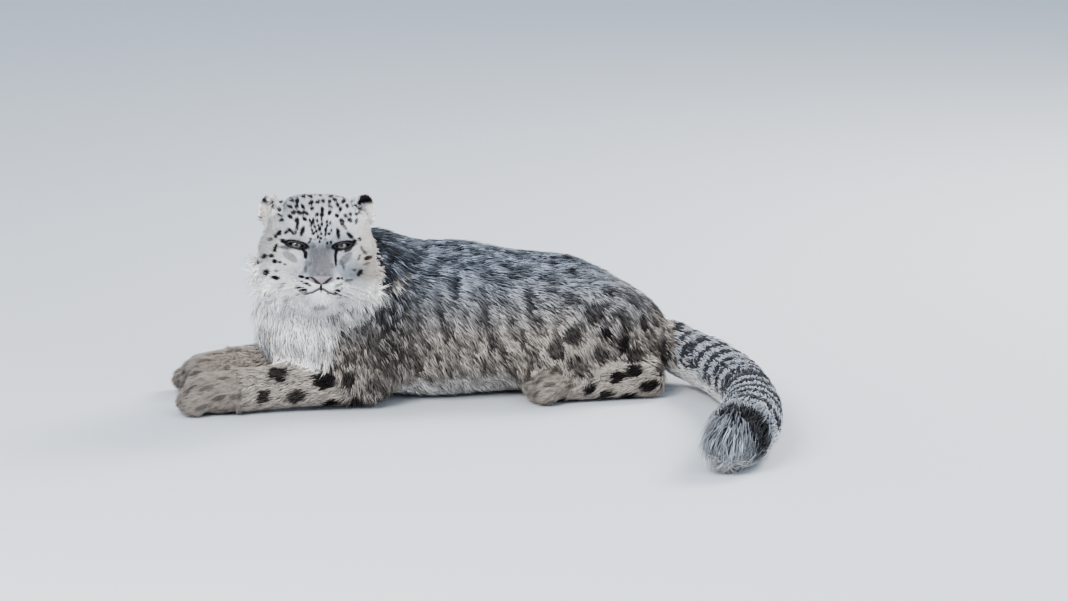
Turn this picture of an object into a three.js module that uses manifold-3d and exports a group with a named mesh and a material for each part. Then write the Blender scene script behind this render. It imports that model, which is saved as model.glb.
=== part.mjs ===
// A life-size snow leopard lying on its breast, forelegs stretched out in front and hind legs folded
// under the flanks, with its head turned to its left and its long tail laid round on the ground.
// Millimetres, +Z up. The breast points to -X, the tail leaves towards +X, and the left flank and the
// face look to -Y. The origin is under the middle of the whole animal, on the ground.
//
// The body is modelled whole, as one smooth formula of fleshy masses along the bones. Each sub-part is
// a loft or a ball wrapped on that formula, and thin cuts part it from its neighbours.

import * as THREE from "three";
import { LoftGeometry } from "three/addons/geometries/LoftGeometry.js";
import { mergeVertices } from "three/addons/utils/BufferGeometryUtils.js";
import Module from "manifold-3d";

const wasm = await Module();
wasm.setup();

// Driving dimensions
const BACK_HEIGHT = 283; // withers above the ground, coat included
const CHEST_HALF_WIDTH = 120;
const TAIL_RADIUS = 49;
const EYE_SPACING = 74;
const EYE_RADIUS = 15;
const GAP = 0.3; // between neighbouring sub-parts
const LEFT = -1; // the side of the body that faces the viewer
const RIGHT = 1;

const point = (x, y, z) => new THREE.Vector3(x, y, z);

// Fleshy masses

// One mass is a capsule that tapers from one radius to another and melts into the masses listed
// before it over the blend distance. It can be stretched along one direction.
function mass(from, fromRadius, to, toRadius, blend = 26, stretch = null) {
  const along = to.clone().sub(from);
  const taper = toRadius - fromRadius;
  return { from, fromRadius, along, lengthSquared: along.lengthSq() || 1, taper, blend, stretch };
}

const ball = (centre, radius, blend = 12, stretch = null) =>
  mass(centre, radius, centre, radius, blend, stretch);

const step = new THREE.Vector3();

function distanceTo(one, p) {
  step.subVectors(p, one.from);
  if (one.stretch) {
    for (const [direction, share] of one.stretch) {
      step.addScaledVector(direction, step.dot(direction) * (1 / share - 1));
    }
  }
  const t = THREE.MathUtils.clamp(step.dot(one.along) / one.lengthSquared, 0, 1);
  step.addScaledVector(one.along, -t);
  return step.length() - one.fromRadius - one.taper * t;
}

// The smooth union of a list of masses: negative inside, and roughly the distance to the surface.
function fieldOf(masses) {
  return (p) => {
    let value = Infinity;
    for (const one of masses) {
      const d = distanceTo(one, p);
      if (value === Infinity) {
        value = d;
        continue;
      }
      const h = Math.max(one.blend - Math.abs(value - d), 0) / one.blend;
      value = Math.min(value, d) - (h * h * one.blend) / 4;
    }
    return value;
  };
}

// Solids

const MARCH_STEP = 1.5;
const probe = new THREE.Vector3();

// How far from a point inside the field its surface is, along a direction.
function exitDistance(field, from, direction, reach, level) {
  let before = field(from) - level;
  for (let r = MARCH_STEP; r < reach; r += MARCH_STEP) {
    const now = field(probe.copy(from).addScaledVector(direction, r)) - level;
    if (now >= 0) return r - (MARCH_STEP * now) / (now - before);
    before = now;
  }
  return reach;
}

function solidOf(geometry) {
  const bare = new THREE.BufferGeometry();
  bare.setAttribute("position", geometry.attributes.position);
  bare.setIndex(geometry.index);
  const merged = mergeVertices(bare, 1e-3);
  return new wasm.Manifold(
    new wasm.Mesh({
      numProp: 3,
      vertProperties: merged.attributes.position.array,
      triVerts: new Uint32Array(merged.index.array),
    }),
  );
}

// A tube wrapped on the field round a bone line. Each station gives the centre of one section and two
// directions across the line.
function wrapTube(field, stations, segments, reach, level = 0) {
  const sections = stations.map(({ centre, across, up }) => {
    const ring = [];
    for (let i = 0; i < segments; i++) {
      const angle = (2 * Math.PI * i) / segments;
      const direction = across.clone().multiplyScalar(Math.cos(angle)).addScaledVector(up, Math.sin(angle));
      const r = Math.max(exitDistance(field, centre, direction, reach, level), 1);
      ring.push(centre.clone().addScaledVector(direction, r));
    }
    return ring;
  });
  return solidOf(new LoftGeometry(sections, { capStart: true, capEnd: true }));
}

// Stations along a curve, with sections square to it and their "up" kept as near +Z as it can be. They
// crowd towards the two ends, which are rounded.
function stationsAlong(curve, count) {
  const list = [];
  for (let i = 0; i < count; i++) {
    const t = 0.5 - 0.5 * Math.cos((Math.PI * i) / (count - 1));
    const ahead = curve.getTangentAt(t);
    const across = point(0, 0, 1).cross(ahead).normalize();
    const up = ahead.clone().cross(across).normalize();
    list.push({ centre: curve.getPointAt(t), across, up });
  }
  return list;
}

// A sphere pulled in or out on to the field. Its pole looks along the frame's forward axis, its rings
// crowd towards the front, where the detail is, and the point it is blown up from moves forward with them.
function wrapBall(field, core, frontCore, frame, segments, rings, reach, level = 0) {
  const sphere = new THREE.SphereGeometry(1, segments, rings);
  const place = sphere.attributes.position;
  const direction = new THREE.Vector3();
  const centre = new THREE.Vector3();
  for (let i = 0; i < place.count; i++) {
    direction.fromBufferAttribute(place, i);
    const polar = Math.acos(THREE.MathUtils.clamp(direction.y, -1, 1)) / Math.PI;
    const crowded = Math.PI * (0.66 * polar + 0.34 * polar * polar);
    const turn = Math.atan2(direction.z, direction.x);
    direction
      .copy(frame.forward)
      .multiplyScalar(Math.cos(crowded))
      .addScaledVector(frame.left, Math.sin(crowded) * Math.cos(turn))
      .addScaledVector(frame.up, -Math.sin(crowded) * Math.sin(turn));
    centre.copy(core).lerp(frontCore, Math.pow(0.5 + 0.5 * Math.cos(crowded), 3));
    const r = exitDistance(field, centre, direction, reach, level);
    place.setXYZ(i, centre.x + r * direction.x, centre.y + r * direction.y, centre.z + r * direction.z);
  }
  return solidOf(sphere);
}

// An ellipsoid with its own axes, as a solid.
function ellipsoid(centre, axes, radii, segments = 20, rings = 12) {
  const shape = new THREE.SphereGeometry(1, segments, rings);
  const turn = new THREE.Matrix4().makeBasis(axes[0], axes[1], axes[2]);
  shape.scale(radii[0], radii[1], radii[2]).applyMatrix4(turn).translate(centre.x, centre.y, centre.z);
  return solidOf(shape);
}

// A round-ended rod that follows a curve.
function rodAlong(points, radius, sides = 8, steps = 14) {
  const curve = new THREE.CatmullRomCurve3(points);
  const section = new THREE.Shape().absarc(0, 0, radius, 0, 2 * Math.PI);
  const settings = { extrudePath: curve, steps, curveSegments: sides, bevelEnabled: false };
  return solidOf(new THREE.ExtrudeGeometry(section, settings));
}

// The part of a solid on the side of a plane that its normal points to, short of the plane by half a gap.
function beyond(solid, plane) {
  const offset = plane.normal.dot(plane.at) + GAP / 2;
  return solid.trimByPlane(plane.normal.toArray(), offset);
}

function behind(solid, plane) {
  return beyond(solid, { at: plane.at, normal: plane.normal.clone().negate() });
}

const onGround = (solid) => solid.trimByPlane([0, 0, 1], 0);

// Locks of long coat

// Each row is a section of a lock: how far along it is, how high above its root's surface as a share of
// the lock's rise, and how wide and thick it is as shares of the lock's full size.
const LOCK_SECTIONS = [
  [0, -0.9, 0.7, 1],
  [0.45, 0.6, 1, 1],
  [1, 1, 0.12, 0.15],
];

// A flat lock of four corners to a section. The place function gives, for a share of its length, the
// point under it on the core, the way the coat lies there and the way out of the body.
function lock(place, { rise, width, thickness }, grow = 0) {
  const sections = LOCK_SECTIONS.map(([share, height, wide, thick]) => {
    const { under, flow, out } = place(share);
    const across = flow.clone().cross(out).normalize();
    const centre = under.clone().addScaledVector(out, height * rise);
    const w = (wide * width) / 2 + grow;
    const h = (thick * thickness) / 2 + grow;
    return [
      centre.clone().addScaledVector(across, w),
      centre.clone().addScaledVector(out, -h),
      centre.clone().addScaledVector(across, -w),
      centre.clone().addScaledVector(out, h),
    ];
  });
  return solidOf(new LoftGeometry(sections, { capStart: true, capEnd: true }));
}

function gradient(field, p) {
  const e = 0.5;
  const here = p.clone();
  const slope = point(0, 0, 0);
  for (const axis of ["x", "y", "z"]) {
    here[axis] += e;
    slope[axis] = field(here);
    here[axis] -= 2 * e;
    slope[axis] -= field(here);
    here[axis] += e;
  }
  return slope.normalize();
}

// Where a lock lies that leaves the surface of a field and follows it along a heading.
function lieOn(field, from, direction, heading, length) {
  const root = from.clone().addScaledVector(direction, exitDistance(field, from, direction, 260, 0));
  const first = gradient(field, root);
  const lie = heading.clone().addScaledVector(first, -heading.dot(first)).normalize();
  return (share) => {
    const under = root.clone().addScaledVector(lie, share * length);
    for (let i = 0; i < 2; i++) under.addScaledVector(gradient(field, under), -field(under));
    const out = gradient(field, under);
    const flow = lie.clone().addScaledVector(out, -lie.dot(out)).normalize();
    return { under, flow, out };
  };
}

// All the locks of one region as one solid, and the room they need once grown by the gap.
function coatOf(locks) {
  const joined = (grow) =>
    locks.map(({ place, size }) => lock(place, size, grow)).reduce((all, one) => all.add(one));
  return { solid: joined(0), room: joined(GAP) };
}

// Seeded draw, so that every build gives the same locks.
let seed = 20417;
function draw(low, high) {
  seed = (seed * 16807) % 2147483647;
  return low + (high - low) * (seed / 2147483647);
}

const ARC_STEPS = 12;
const PRISM_DEPTH = 200;

// An egg-shaped prism, pointing to one side of the body, that parts a shoulder or a thigh from the trunk.
function eggPrism(top, topRadius, bottom, bottomRadius, inner, side, grow) {
  const outline = [];
  const axis = Math.atan2(bottom.z - top.z, bottom.x - top.x);
  const spread = Math.acos((topRadius - bottomRadius) / Math.hypot(bottom.x - top.x, bottom.z - top.z));
  const arc = (centre, radius, start, end) => {
    for (let i = 0; i <= ARC_STEPS; i++) {
      const a = start + ((end - start) * i) / ARC_STEPS;
      const r = radius + grow;
      outline.push(new THREE.Vector2(centre.x + r * Math.cos(a), centre.z + r * Math.sin(a)));
    }
  };
  arc(top, topRadius, axis + spread, axis + 2 * Math.PI - spread);
  arc(bottom, bottomRadius, axis - spread, axis + spread);
  const settings = { depth: PRISM_DEPTH, bevelEnabled: false, curveSegments: 1 };
  const prism = new THREE.ExtrudeGeometry(new THREE.Shape(outline), settings);
  prism.rotateX(Math.PI / 2); // the outline now stands in the XZ plane and the depth runs to -Y
  prism.translate(0, side === LEFT ? -(inner - grow) : inner - grow + PRISM_DEPTH, 0);
  return solidOf(prism);
}

function largest(solid) {
  return solid.decompose().sort((a, b) => b.volume() - a.volume())[0];
}

// Scene graph

const leopard = new THREE.Group();

const COAT = new THREE.MeshStandardMaterial({ color: 0x9b948b, roughness: 0.95 });
const PALE_COAT = new THREE.MeshStandardMaterial({ color: 0xd8d0c4, roughness: 0.95 });
const EYE = new THREE.MeshStandardMaterial({ color: 0x9aa38c, roughness: 0.1 });
const NOSE = new THREE.MeshStandardMaterial({ color: 0x7a5f58, roughness: 0.5 });

function addNode(name, solid, material) {
  const { vertProperties, triVerts, numProp, numVert } = largest(solid).getMesh();
  const place = new Float32Array(numVert * 3);
  for (let i = 0; i < numVert; i++) place.set(vertProperties.subarray(i * numProp, i * numProp + 3), i * 3);
  const geometry = new THREE.BufferGeometry();
  geometry.setAttribute("position", new THREE.BufferAttribute(place, 3));
  geometry.setIndex(new THREE.BufferAttribute(triVerts, 1));
  const mesh = new THREE.Mesh(geometry, material);
  mesh.name = name;
  leopard.add(mesh);
}

// Trunk: ribs, loin, belly and rump, with the shoulders and thighs as bulges on it

const flatter = (share) => [[point(0, 1, 0), share]];
const RIB_HEIGHT = BACK_HEIGHT - 124;
const RIB_RADIUS = 120;

const trunkMasses = [
  mass(point(-205, 0, RIB_HEIGHT), RIB_RADIUS, point(-20, 0, 140), 121, 1, flatter(CHEST_HALF_WIDTH / 124)),
  mass(point(-20, 0, 140), 121, point(150, 0, 120), 113, 20, flatter(0.95)),
  mass(point(150, 0, 120), 112, point(258, 0, 92), 84, 20, flatter(1.05)),
  mass(point(258, 0, 92), 84, point(312, 0, 80), 54, 30),
  mass(point(-225, 0, 78), 74, point(-60, 0, 70), 72, 40, flatter(1.2)),
  mass(point(-60, 0, 84), 88, point(150, 0, 76), 82, 40, flatter(1.12)),
  mass(point(-262, -14, 128), 94, point(-250, -4, 150), 98, 40),
];

const SHOULDER = { x: -240, y: 76, z: 142 };
const ELBOW = { x: -190, y: 94, z: 52 };
const HIP = { x: 216, y: 66, z: 124 };
const KNEE = { x: 160, y: 100, z: 68 };

const at = (joint, side) => point(joint.x, side * joint.y, joint.z);

for (const side of [LEFT, RIGHT]) {
  trunkMasses.push(
    mass(point(-150, side * 48, 228), 58, at(SHOULDER, side), 58, 24),
    mass(at(SHOULDER, side), 58, at(ELBOW, side), 52, 24),
    mass(at(HIP, side), 78, at(KNEE, side), 54, 26),
    mass(point(250, side * 62, 86), 60, point(278, side * 84, 60), 44, 24),
  );
}

// Neck, which leans to the left and carries the head above the breast

const neckMasses = [mass(point(-252, -18, 176), 104, point(-270, -56, 262), 88, 36)];

// Head

const HEAD_AT = point(-277, -152, 288); // midway between the eyes
const HEAD_YAW = THREE.MathUtils.degToRad(-6);
const HEAD_PITCH = THREE.MathUtils.degToRad(11);
const HEAD_ROLL = THREE.MathUtils.degToRad(2);

function headFrame() {
  const forward = point(
    Math.sin(HEAD_YAW) * Math.cos(HEAD_PITCH),
    -Math.cos(HEAD_YAW) * Math.cos(HEAD_PITCH),
    Math.sin(HEAD_PITCH),
  );
  const level = point(0, 0, 1).cross(forward).normalize();
  const upright = forward.clone().cross(level).normalize();
  const left = level.clone().multiplyScalar(Math.cos(HEAD_ROLL));
  left.addScaledVector(upright, -Math.sin(HEAD_ROLL));
  const up = forward.clone().cross(left).normalize();
  return { forward, left, up };
}

const HEAD = headFrame();

// A place on the head: ahead of the eyes, to the animal's left of the nose, and above the eyes.
function onHead(ahead, aside, above) {
  return HEAD_AT.clone()
    .addScaledVector(HEAD.forward, ahead)
    .addScaledVector(HEAD.left, aside)
    .addScaledVector(HEAD.up, above);
}

const headStretch = (ahead, aside, above) => [
  [HEAD.forward, ahead],
  [HEAD.left, aside],
  [HEAD.up, above],
];

const headMasses = [];
for (const side of [1, -1]) {
  headMasses.push(
    ball(onHead(-58, 27 * side, 20), 67, 20, headStretch(1.25, 1, 1)), // cranium
    ball(onHead(-44, 53 * side, -26), 42, 24, headStretch(1.1, 0.95, 1.15)), // cheek
    ball(onHead(-50, 63 * side, -54), 35, 24, headStretch(1, 1, 1.1)), // jowl under the ruff
  );
}
headMasses.push(
  ball(onHead(-24, 0, 26), 45, 20, headStretch(0.95, 1.2, 1.1)), // forehead
  mass(onHead(-2, 0, 4), 24, onHead(51, 0, -38), 18, 12, [[HEAD.left, 1.18]]), // bridge of the nose
  mass(onHead(-20, 0, -54), 54, onHead(28, 0, -62), 34, 16), // upper jaw
  mass(onHead(-52, 0, -62), 52, onHead(0, 0, -74), 36, 20), // lower jaw
  ball(onHead(36, 0, -86), 20, 7, headStretch(1, 1.2, 0.85)), // chin
  ball(onHead(56, 0, -50), 15, 6, headStretch(1.05, 1.35, 0.95)), // nose
  mass(onHead(-70, 0, -60), 70, point(-270, -62, 240), 80, 30), // throat
);
for (const side of [1, -1]) {
  headMasses.push(
    ball(onHead(43, 18 * side, -63), 22, 7, headStretch(1.1, 1.05, 0.86)), // whisker pad
    ball(onHead(0, 36 * side, 19), 12, 10, headStretch(0.9, 1.6, 0.8)), // brow
    ball(onHead(-6, 42 * side, -28), 24, 16, headStretch(1, 1.05, 0.8)), // cheekbone
  );
}

const eyeCentre = (side) => onHead(-6, (EYE_SPACING / 2) * side, 0);

const headField = fieldOf(headMasses);
const trunkField = fieldOf([...trunkMasses, ...neckMasses]);
const neckField = fieldOf([...trunkMasses, ...neckMasses, ...headMasses]);

const neckPlane = { at: point(-250, -30, 215), normal: point(-0.27, -0.55, 0.79).normalize() };
const headPlane = {
  at: onHead(-96, 0, -62),
  normal: HEAD.forward.clone().multiplyScalar(0.62).addScaledVector(HEAD.up, 0.78).normalize(),
};

const headAxes = [HEAD.forward, HEAD.left, HEAD.up];
const headWrap = (level) =>
  wrapBall(headField, onHead(-38, 0, -14), onHead(30, 0, -52), HEAD, 42, 32, 190, level);

// The ruff: rows of locks from the cheeks round the jowls to the throat, on both sides. Each row has its
// place ahead of the eyes, the length of its locks and their angles below the level of the cheek.
const RUFF_ROWS = [
  [-16, 54, [-16, -42]],
  [-40, 60, [2, -24, -50]],
  [-68, 58, [10, -14, -38, -60]],
];
const RUFF_LOCK = { rise: 11, width: 48, thickness: 12 };
const ruffLocks = [];
for (const side of [1, -1]) {
  for (const [ahead, length, angles] of RUFF_ROWS) {
    for (const degrees of angles) {
      const angle = THREE.MathUtils.degToRad(degrees + draw(-4, 4));
      const direction = HEAD.left.clone().multiplyScalar(side * Math.cos(angle));
      direction.addScaledVector(HEAD.up, Math.sin(angle));
      const heading = HEAD.forward.clone().multiplyScalar(-0.75);
      heading.addScaledVector(HEAD.left, 0.3 * side).addScaledVector(HEAD.up, -0.65 - draw(-0.1, 0.1));
      const place = lieOn(headField, onHead(ahead, 0, -24), direction, heading, length * draw(0.9, 1.1));
      ruffLocks.push({ place, size: RUFF_LOCK });
    }
  }
}
const ruff = coatOf(ruffLocks);

const headWhole = headWrap(0).add(ruff.solid);
const headGrown = headWrap(GAP).add(ruff.room);
const headEdge = headPlane.normal.dot(headPlane.at) - GAP / 2;
const headRoom = headGrown.trimByPlane(headPlane.normal.toArray(), headEdge);

// Trunk wrap: sections across the body, closer together at its rounded ends

function trunkStations() {
  const list = [];
  const count = 27;
  for (let i = 0; i < count; i++) {
    const t = i / (count - 1);
    const x = THREE.MathUtils.lerp(-362, 344, 0.5 - 0.5 * Math.cos(Math.PI * (0.06 + 0.9 * t)));
    const height = 120 - 34 * THREE.MathUtils.smoothstep(x, 120, 330);
    const lean = -14 * THREE.MathUtils.smoothstep(-x, 200, 330);
    list.push({ centre: point(x, lean, height), across: point(0, 1, 0), up: point(0, 0, 1) });
  }
  return list;
}

const trunkWrap = (level) => wrapTube(trunkField, trunkStations(), 32, 230, level);

// Long coat on the trunk: a bib down the breast, a fringe along each flank and the backs of the thighs.
// Height, length and number of the locks in each row of the bib.
const BIB_ROWS = [[196, 66, 3], [156, 66, 4], [114, 58, 3]];
const BIB_LOCK = { rise: 9, width: 76, thickness: 10 };
const FRINGE_LOCK = { rise: 10, width: 62, thickness: 10 };
const FRINGE_COUNT = 5;
const THIGH_LOCK = { rise: 10, width: 46, thickness: 10 };
const THIGH_COUNT = 2;
const trunkLocks = [];
for (const [height, length, count] of BIB_ROWS) {
  for (let i = 0; i < count; i++) {
    const turn = THREE.MathUtils.degToRad(158 + (100 * i) / (count - 1) + draw(-4, 4));
    const direction = point(Math.cos(turn), Math.sin(turn), 0);
    const from = point(-250, -10, height);
    const place = lieOn(trunkField, from, direction, point(0.1, 0, -1), length * draw(0.9, 1.1));
    trunkLocks.push({ place, size: BIB_LOCK });
  }
}
for (const side of [LEFT, RIGHT]) {
  for (let i = 0; i < FRINGE_COUNT; i++) {
    const from = point(-100 + 38 * i, 0, 108);
    const direction = point(0, side, -0.2 + 0.12 * (i % 2)).normalize();
    const place = lieOn(trunkField, from, direction, point(0.55, 0, -0.8), 56 * draw(0.9, 1.1));
    trunkLocks.push({ place, size: FRINGE_LOCK });
  }
  for (let i = 0; i < THIGH_COUNT; i++) {
    const direction = point(0.62 - 0.28 * i, side * (0.5 + 0.2 * i), 0.15).normalize();
    const heading = point(0.45, side * 0.2, -0.85);
    const place = lieOn(trunkField, point(236, side * 30, 104), direction, heading, 52 * draw(0.9, 1.1));
    trunkLocks.push({ place, size: THIGH_LOCK });
  }
}
const trunkCoat = coatOf(trunkLocks);
const trunkWhole = onGround(trunkWrap(0).add(trunkCoat.solid));
const trunkGrown = trunkWrap(GAP).add(trunkCoat.room);

function partedTrunk() {
  let rest = behind(trunkWhole, neckPlane).subtract(headRoom);
  const cuts = [
    ["foreleg", { x: -172, z: 222 }, 46, { x: -196, z: 60 }, 62, 88],
    ["hindleg", { x: 222, z: 140 }, 74, { x: 190, z: 62 }, 74, 84],
  ];
  for (const [name, ...egg] of cuts) {
    for (const [side, word] of [[LEFT, "left"], [RIGHT, "right"]]) {
      addNode(`${name}_${word}_upper`, largest(rest.intersect(eggPrism(...egg, side, 0))), COAT);
      rest = rest.subtract(eggPrism(...egg, side, GAP));
    }
  }
  const chestPlane = { at: point(-128, 0, 0), normal: point(1, 0, 0) };
  const loinPlane = { at: point(104, 0, 0), normal: point(1, 0, 0) };
  addNode("torso_chest", behind(rest, chestPlane), COAT);
  addNode("torso_belly", behind(beyond(rest, chestPlane), loinPlane), COAT);
  addNode("torso_rump", beyond(rest, loinPlane), COAT);
}

partedTrunk();

// Neck

const neckLine = new THREE.CatmullRomCurve3([
  point(-252, -8, 130),
  point(-264, -34, 205),
  point(-276, -70, 262),
  point(-282, -96, 300),
]);
const NECK_SIDES = 18;
const neckStations = stationsAlong(neckLine, 7);
const throat = behind(wrapTube(neckField, neckStations, NECK_SIDES, 230), headPlane);
const nape = wrapTube(trunkField, neckStations, NECK_SIDES, 230);
addNode("neck", beyond(throat.add(nape), neckPlane).subtract(headRoom), PALE_COAT);

// Where the head's surface is, out from the middle of the muzzle towards a place on the head frame.
function onFace(ahead, aside, above, lift = 0) {
  const from = onHead(0, 0, -56);
  const direction = onHead(ahead, aside, above).sub(from).normalize();
  return from.addScaledVector(direction, exitDistance(headField, from, direction, 150, 0) + lift);
}

let head = beyond(headWhole, headPlane);

const LID_THICKNESS = 3.5;
const eyeball = (centre, radius) => ellipsoid(centre, headAxes, [radius, radius, radius], 14, 9);
for (const side of [1, -1]) {
  const centre = eyeCentre(side);
  head = head.add(eyeball(centre, EYE_RADIUS + LID_THICKNESS)).subtract(eyeball(centre, EYE_RADIUS + GAP));
  const opening = centre.clone().addScaledVector(HEAD.forward, 20).addScaledVector(HEAD.left, 1.5 * side);
  const slant = HEAD.left.clone().multiplyScalar(side).addScaledVector(HEAD.up, 0.16).normalize();
  const upright = HEAD.up.clone().addScaledVector(slant, -HEAD.up.dot(slant)).normalize();
  const forward = slant.clone().cross(upright);
  head = head.subtract(ellipsoid(opening, [forward, slant, upright], [23, 14, 6.5], 12, 8));
}

const mouthLine = [
  onFace(26, -36, -82),
  onFace(44, -24, -81),
  onFace(60, -11, -77),
  onFace(66, 0, -72),
  onFace(60, 11, -77),
  onFace(44, 24, -81),
  onFace(26, 36, -82),
];
head = head.subtract(rodAlong(mouthLine, 1.8, 6, 24));
head = head.subtract(rodAlong([onFace(66, 0, -72), onFace(68, 0, -66), onFace(72, 0, -60)], 1.4, 6, 4));

const nosePad = (grow) => {
  const slope = HEAD.forward.clone().multiplyScalar(0.84).addScaledVector(HEAD.up, 0.54).normalize();
  const upright = slope.clone().cross(HEAD.left).normalize();
  const radii = [12 + grow, 21 + grow, 15 + grow];
  return ellipsoid(onHead(63, 0, -51), [slope, HEAD.left, upright], radii, 14, 9);
};
let nose = nosePad(0);
head = head.subtract(nosePad(GAP));
for (const side of [1, -1]) {
  const slit = [onHead(78, 3 * side, -66), onHead(74, 11 * side, -58), onHead(66, 21 * side, -50)];
  nose = nose.subtract(rodAlong(slit, 2.4, 3, 4));
}
addNode("nose", nose, NOSE);
addNode("head", head, COAT);
for (const [side, word] of [[1, "left"], [-1, "right"]]) {
  addNode(`eye_${word}`, eyeball(eyeCentre(side), EYE_RADIUS), EYE);
}

// Ears: a thick rounded cup on each side of the crown

for (const [side, word] of [[1, "left"], [-1, "right"]]) {
  const up = HEAD.up.clone().multiplyScalar(0.9).addScaledVector(HEAD.left, 0.36 * side);
  up.addScaledVector(HEAD.forward, -0.1).normalize();
  const open = HEAD.forward.clone().multiplyScalar(0.86).addScaledVector(HEAD.left, 0.45 * side);
  open.addScaledVector(up, -open.dot(up)).normalize();
  const wide = up.clone().cross(open).normalize();
  const root = onHead(-84, 70 * side, 50);
  const outer = ellipsoid(root.clone().addScaledVector(up, 6), [open, wide, up], [15, 25, 34], 14, 10);
  const cupCentre = root.clone().addScaledVector(up, 8).addScaledVector(open, 10);
  const cup = ellipsoid(cupCentre, [open, wide, up], [15, 18, 26], 10, 7);
  addNode(`ear_${word}`, outer.subtract(cup).subtract(headGrown), COAT);
}

// Forelegs: forearm and paw, flat along the ground

const TOE_COUNT = 4;

function limb(masses, points, stations, segments) {
  const line = new THREE.CatmullRomCurve3(points);
  return onGround(wrapTube(fieldOf(masses), stationsAlong(line, stations), segments, 90));
}

// Four toes side by side on the end of a paw, each a bulb with its tip a little lower than its root.
function toes(solid, knuckle, heading, halfWidth, reach) {
  const ahead = heading.clone().normalize();
  const across = point(0, 0, 1).cross(ahead).normalize();
  for (let toe = 0; toe < TOE_COUNT; toe++) {
    const share = (2 * toe) / (TOE_COUNT - 1) - 1;
    const along = ahead.clone().addScaledVector(across, 0.16 * share).addScaledVector(point(0, 0, 1), -0.1);
    along.normalize();
    const out = across.clone().addScaledVector(along, -across.dot(along)).normalize();
    const upright = along.clone().cross(out);
    const centre = knuckle.clone().addScaledVector(ahead, reach - 8 * Math.abs(share));
    centre.addScaledVector(across, halfWidth * share).setZ(24);
    solid = solid.add(ellipsoid(centre, [along, out, upright], [31, 17, 24], 8, 7));
  }
  return onGround(solid);
}

const forelegs = [
  { word: "left", elbow: at(ELBOW, LEFT), wrist: point(-396, -94, 38), knuckle: point(-462, -88, 34) },
  { word: "right", elbow: at(ELBOW, RIGHT), wrist: point(-376, 88, 38), knuckle: point(-442, 76, 34) },
];

for (const leg of forelegs) {
  const heading = leg.knuckle.clone().sub(leg.wrist).normalize();
  const masses = [
    mass(leg.elbow, 46, leg.wrist, 37, 20),
    mass(leg.wrist, 38, leg.knuckle, 35, 22, flatter(1.3)),
  ];
  const wristPlane = { at: leg.wrist, normal: heading };
  const points = [leg.elbow, leg.elbow.clone().lerp(leg.wrist, 0.4), leg.wrist, leg.knuckle];
  const arm = limb(masses, points, 8, 14).subtract(trunkGrown);
  addNode(`foreleg_${leg.word}_lower`, behind(arm, wristPlane), COAT);
  const pawRoot = leg.elbow.clone().lerp(leg.wrist, 0.7);
  const pawLine = [pawRoot, leg.wrist, leg.knuckle, leg.knuckle.clone().addScaledVector(heading, 30)];
  const paw = toes(limb(masses, pawLine, 8, 14), leg.knuckle, heading, 30, 20);
  addNode(`foreleg_${leg.word}_paw`, beyond(paw, wristPlane), COAT);
}

// Hind legs: shank and long foot under the thigh

for (const [side, word] of [[LEFT, "left"], [RIGHT, "right"]]) {
  const heel = point(290, side * 108, 32);
  const knuckle = point(118, side * 122, 30);
  const heading = knuckle.clone().sub(heel).normalize();
  const masses = [
    mass(point(160, side * 104, 58), 42, heel, 32, 16),
    mass(heel, 32, knuckle, 30, 14, flatter(1.2)),
  ];
  const end = heel.clone().addScaledVector(heading, -26);
  const line = [end, heel, knuckle, knuckle.clone().addScaledVector(heading, 26)];
  const foot = toes(limb(masses, line, 11, 14), knuckle, heading, 27, 18).subtract(trunkGrown);
  const footPlane = { at: knuckle.clone().lerp(heel, 0.2), normal: heading };
  addNode(`hindleg_${word}_lower`, behind(foot, footPlane), COAT);
  addNode(`hindleg_${word}_paw`, beyond(foot, footPlane), COAT);
}

// Tail: laid on the ground in one long sweep, in four lengths

const tailLine = new THREE.CatmullRomCurve3([
  point(290, 0, 86),
  point(330, -4, 72),
  point(372, -38, 56),
  point(400, -112, 48),
  point(410, -218, 46.5),
  point(403, -330, 46.5),
  point(384, -440, 46.5),
  point(353, -546, 48),
  point(312, -640, 50),
  point(270, -712, 50),
]);
const TAIL_LENGTHS = 4;
const TAIL_CORE = 0.7; // how far the solid core reaches towards the tips of the coat
const TAIL_RINGS = 6;
const TAIL_RING_LOCKS = 4;
const TAIL_LOCK_LENGTH = 150;

// How far the tips of the coat stand from the tail's line.
function tailRadius(t) {
  const root = 58 - (58 - TAIL_RADIUS) * THREE.MathUtils.smoothstep(t, 0, 0.15);
  const brush = 6 * THREE.MathUtils.smoothstep(t, 0.6, 0.85);
  const end = Math.sqrt(Math.max(1 - Math.pow(Math.max(t - 0.86, 0) / 0.15, 2), 0.01));
  return (root + brush) * end;
}

// The tail's line with two directions across it, also a little way past its end.
function alongTail(t) {
  const held = Math.min(t, 1);
  const ahead = tailLine.getTangentAt(held);
  const across = point(0, 0, 1).cross(ahead).normalize();
  const centre = tailLine.getPointAt(held).addScaledVector(ahead, (t - held) * tailLengthMm);
  return { centre, ahead, across, up: ahead.clone().cross(across).normalize() };
}

const tailLengthMm = tailLine.getLength();

function tailLoft(from, to, count, segments) {
  const sections = [];
  for (let i = 0; i < count; i++) {
    const t = from + ((to - from) * i) / (count - 1);
    const { centre, across, up } = alongTail(t);
    const r = TAIL_CORE * tailRadius(t);
    const ring = [];
    for (let k = 0; k < segments; k++) {
      const a = (2 * Math.PI * k) / segments;
      const corner = centre.clone().addScaledVector(across, r * Math.cos(a));
      ring.push(corner.addScaledVector(up, r * Math.sin(a)));
    }
    sections.push(ring);
  }
  return solidOf(new LoftGeometry(sections, { capStart: true, capEnd: true }));
}

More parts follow.
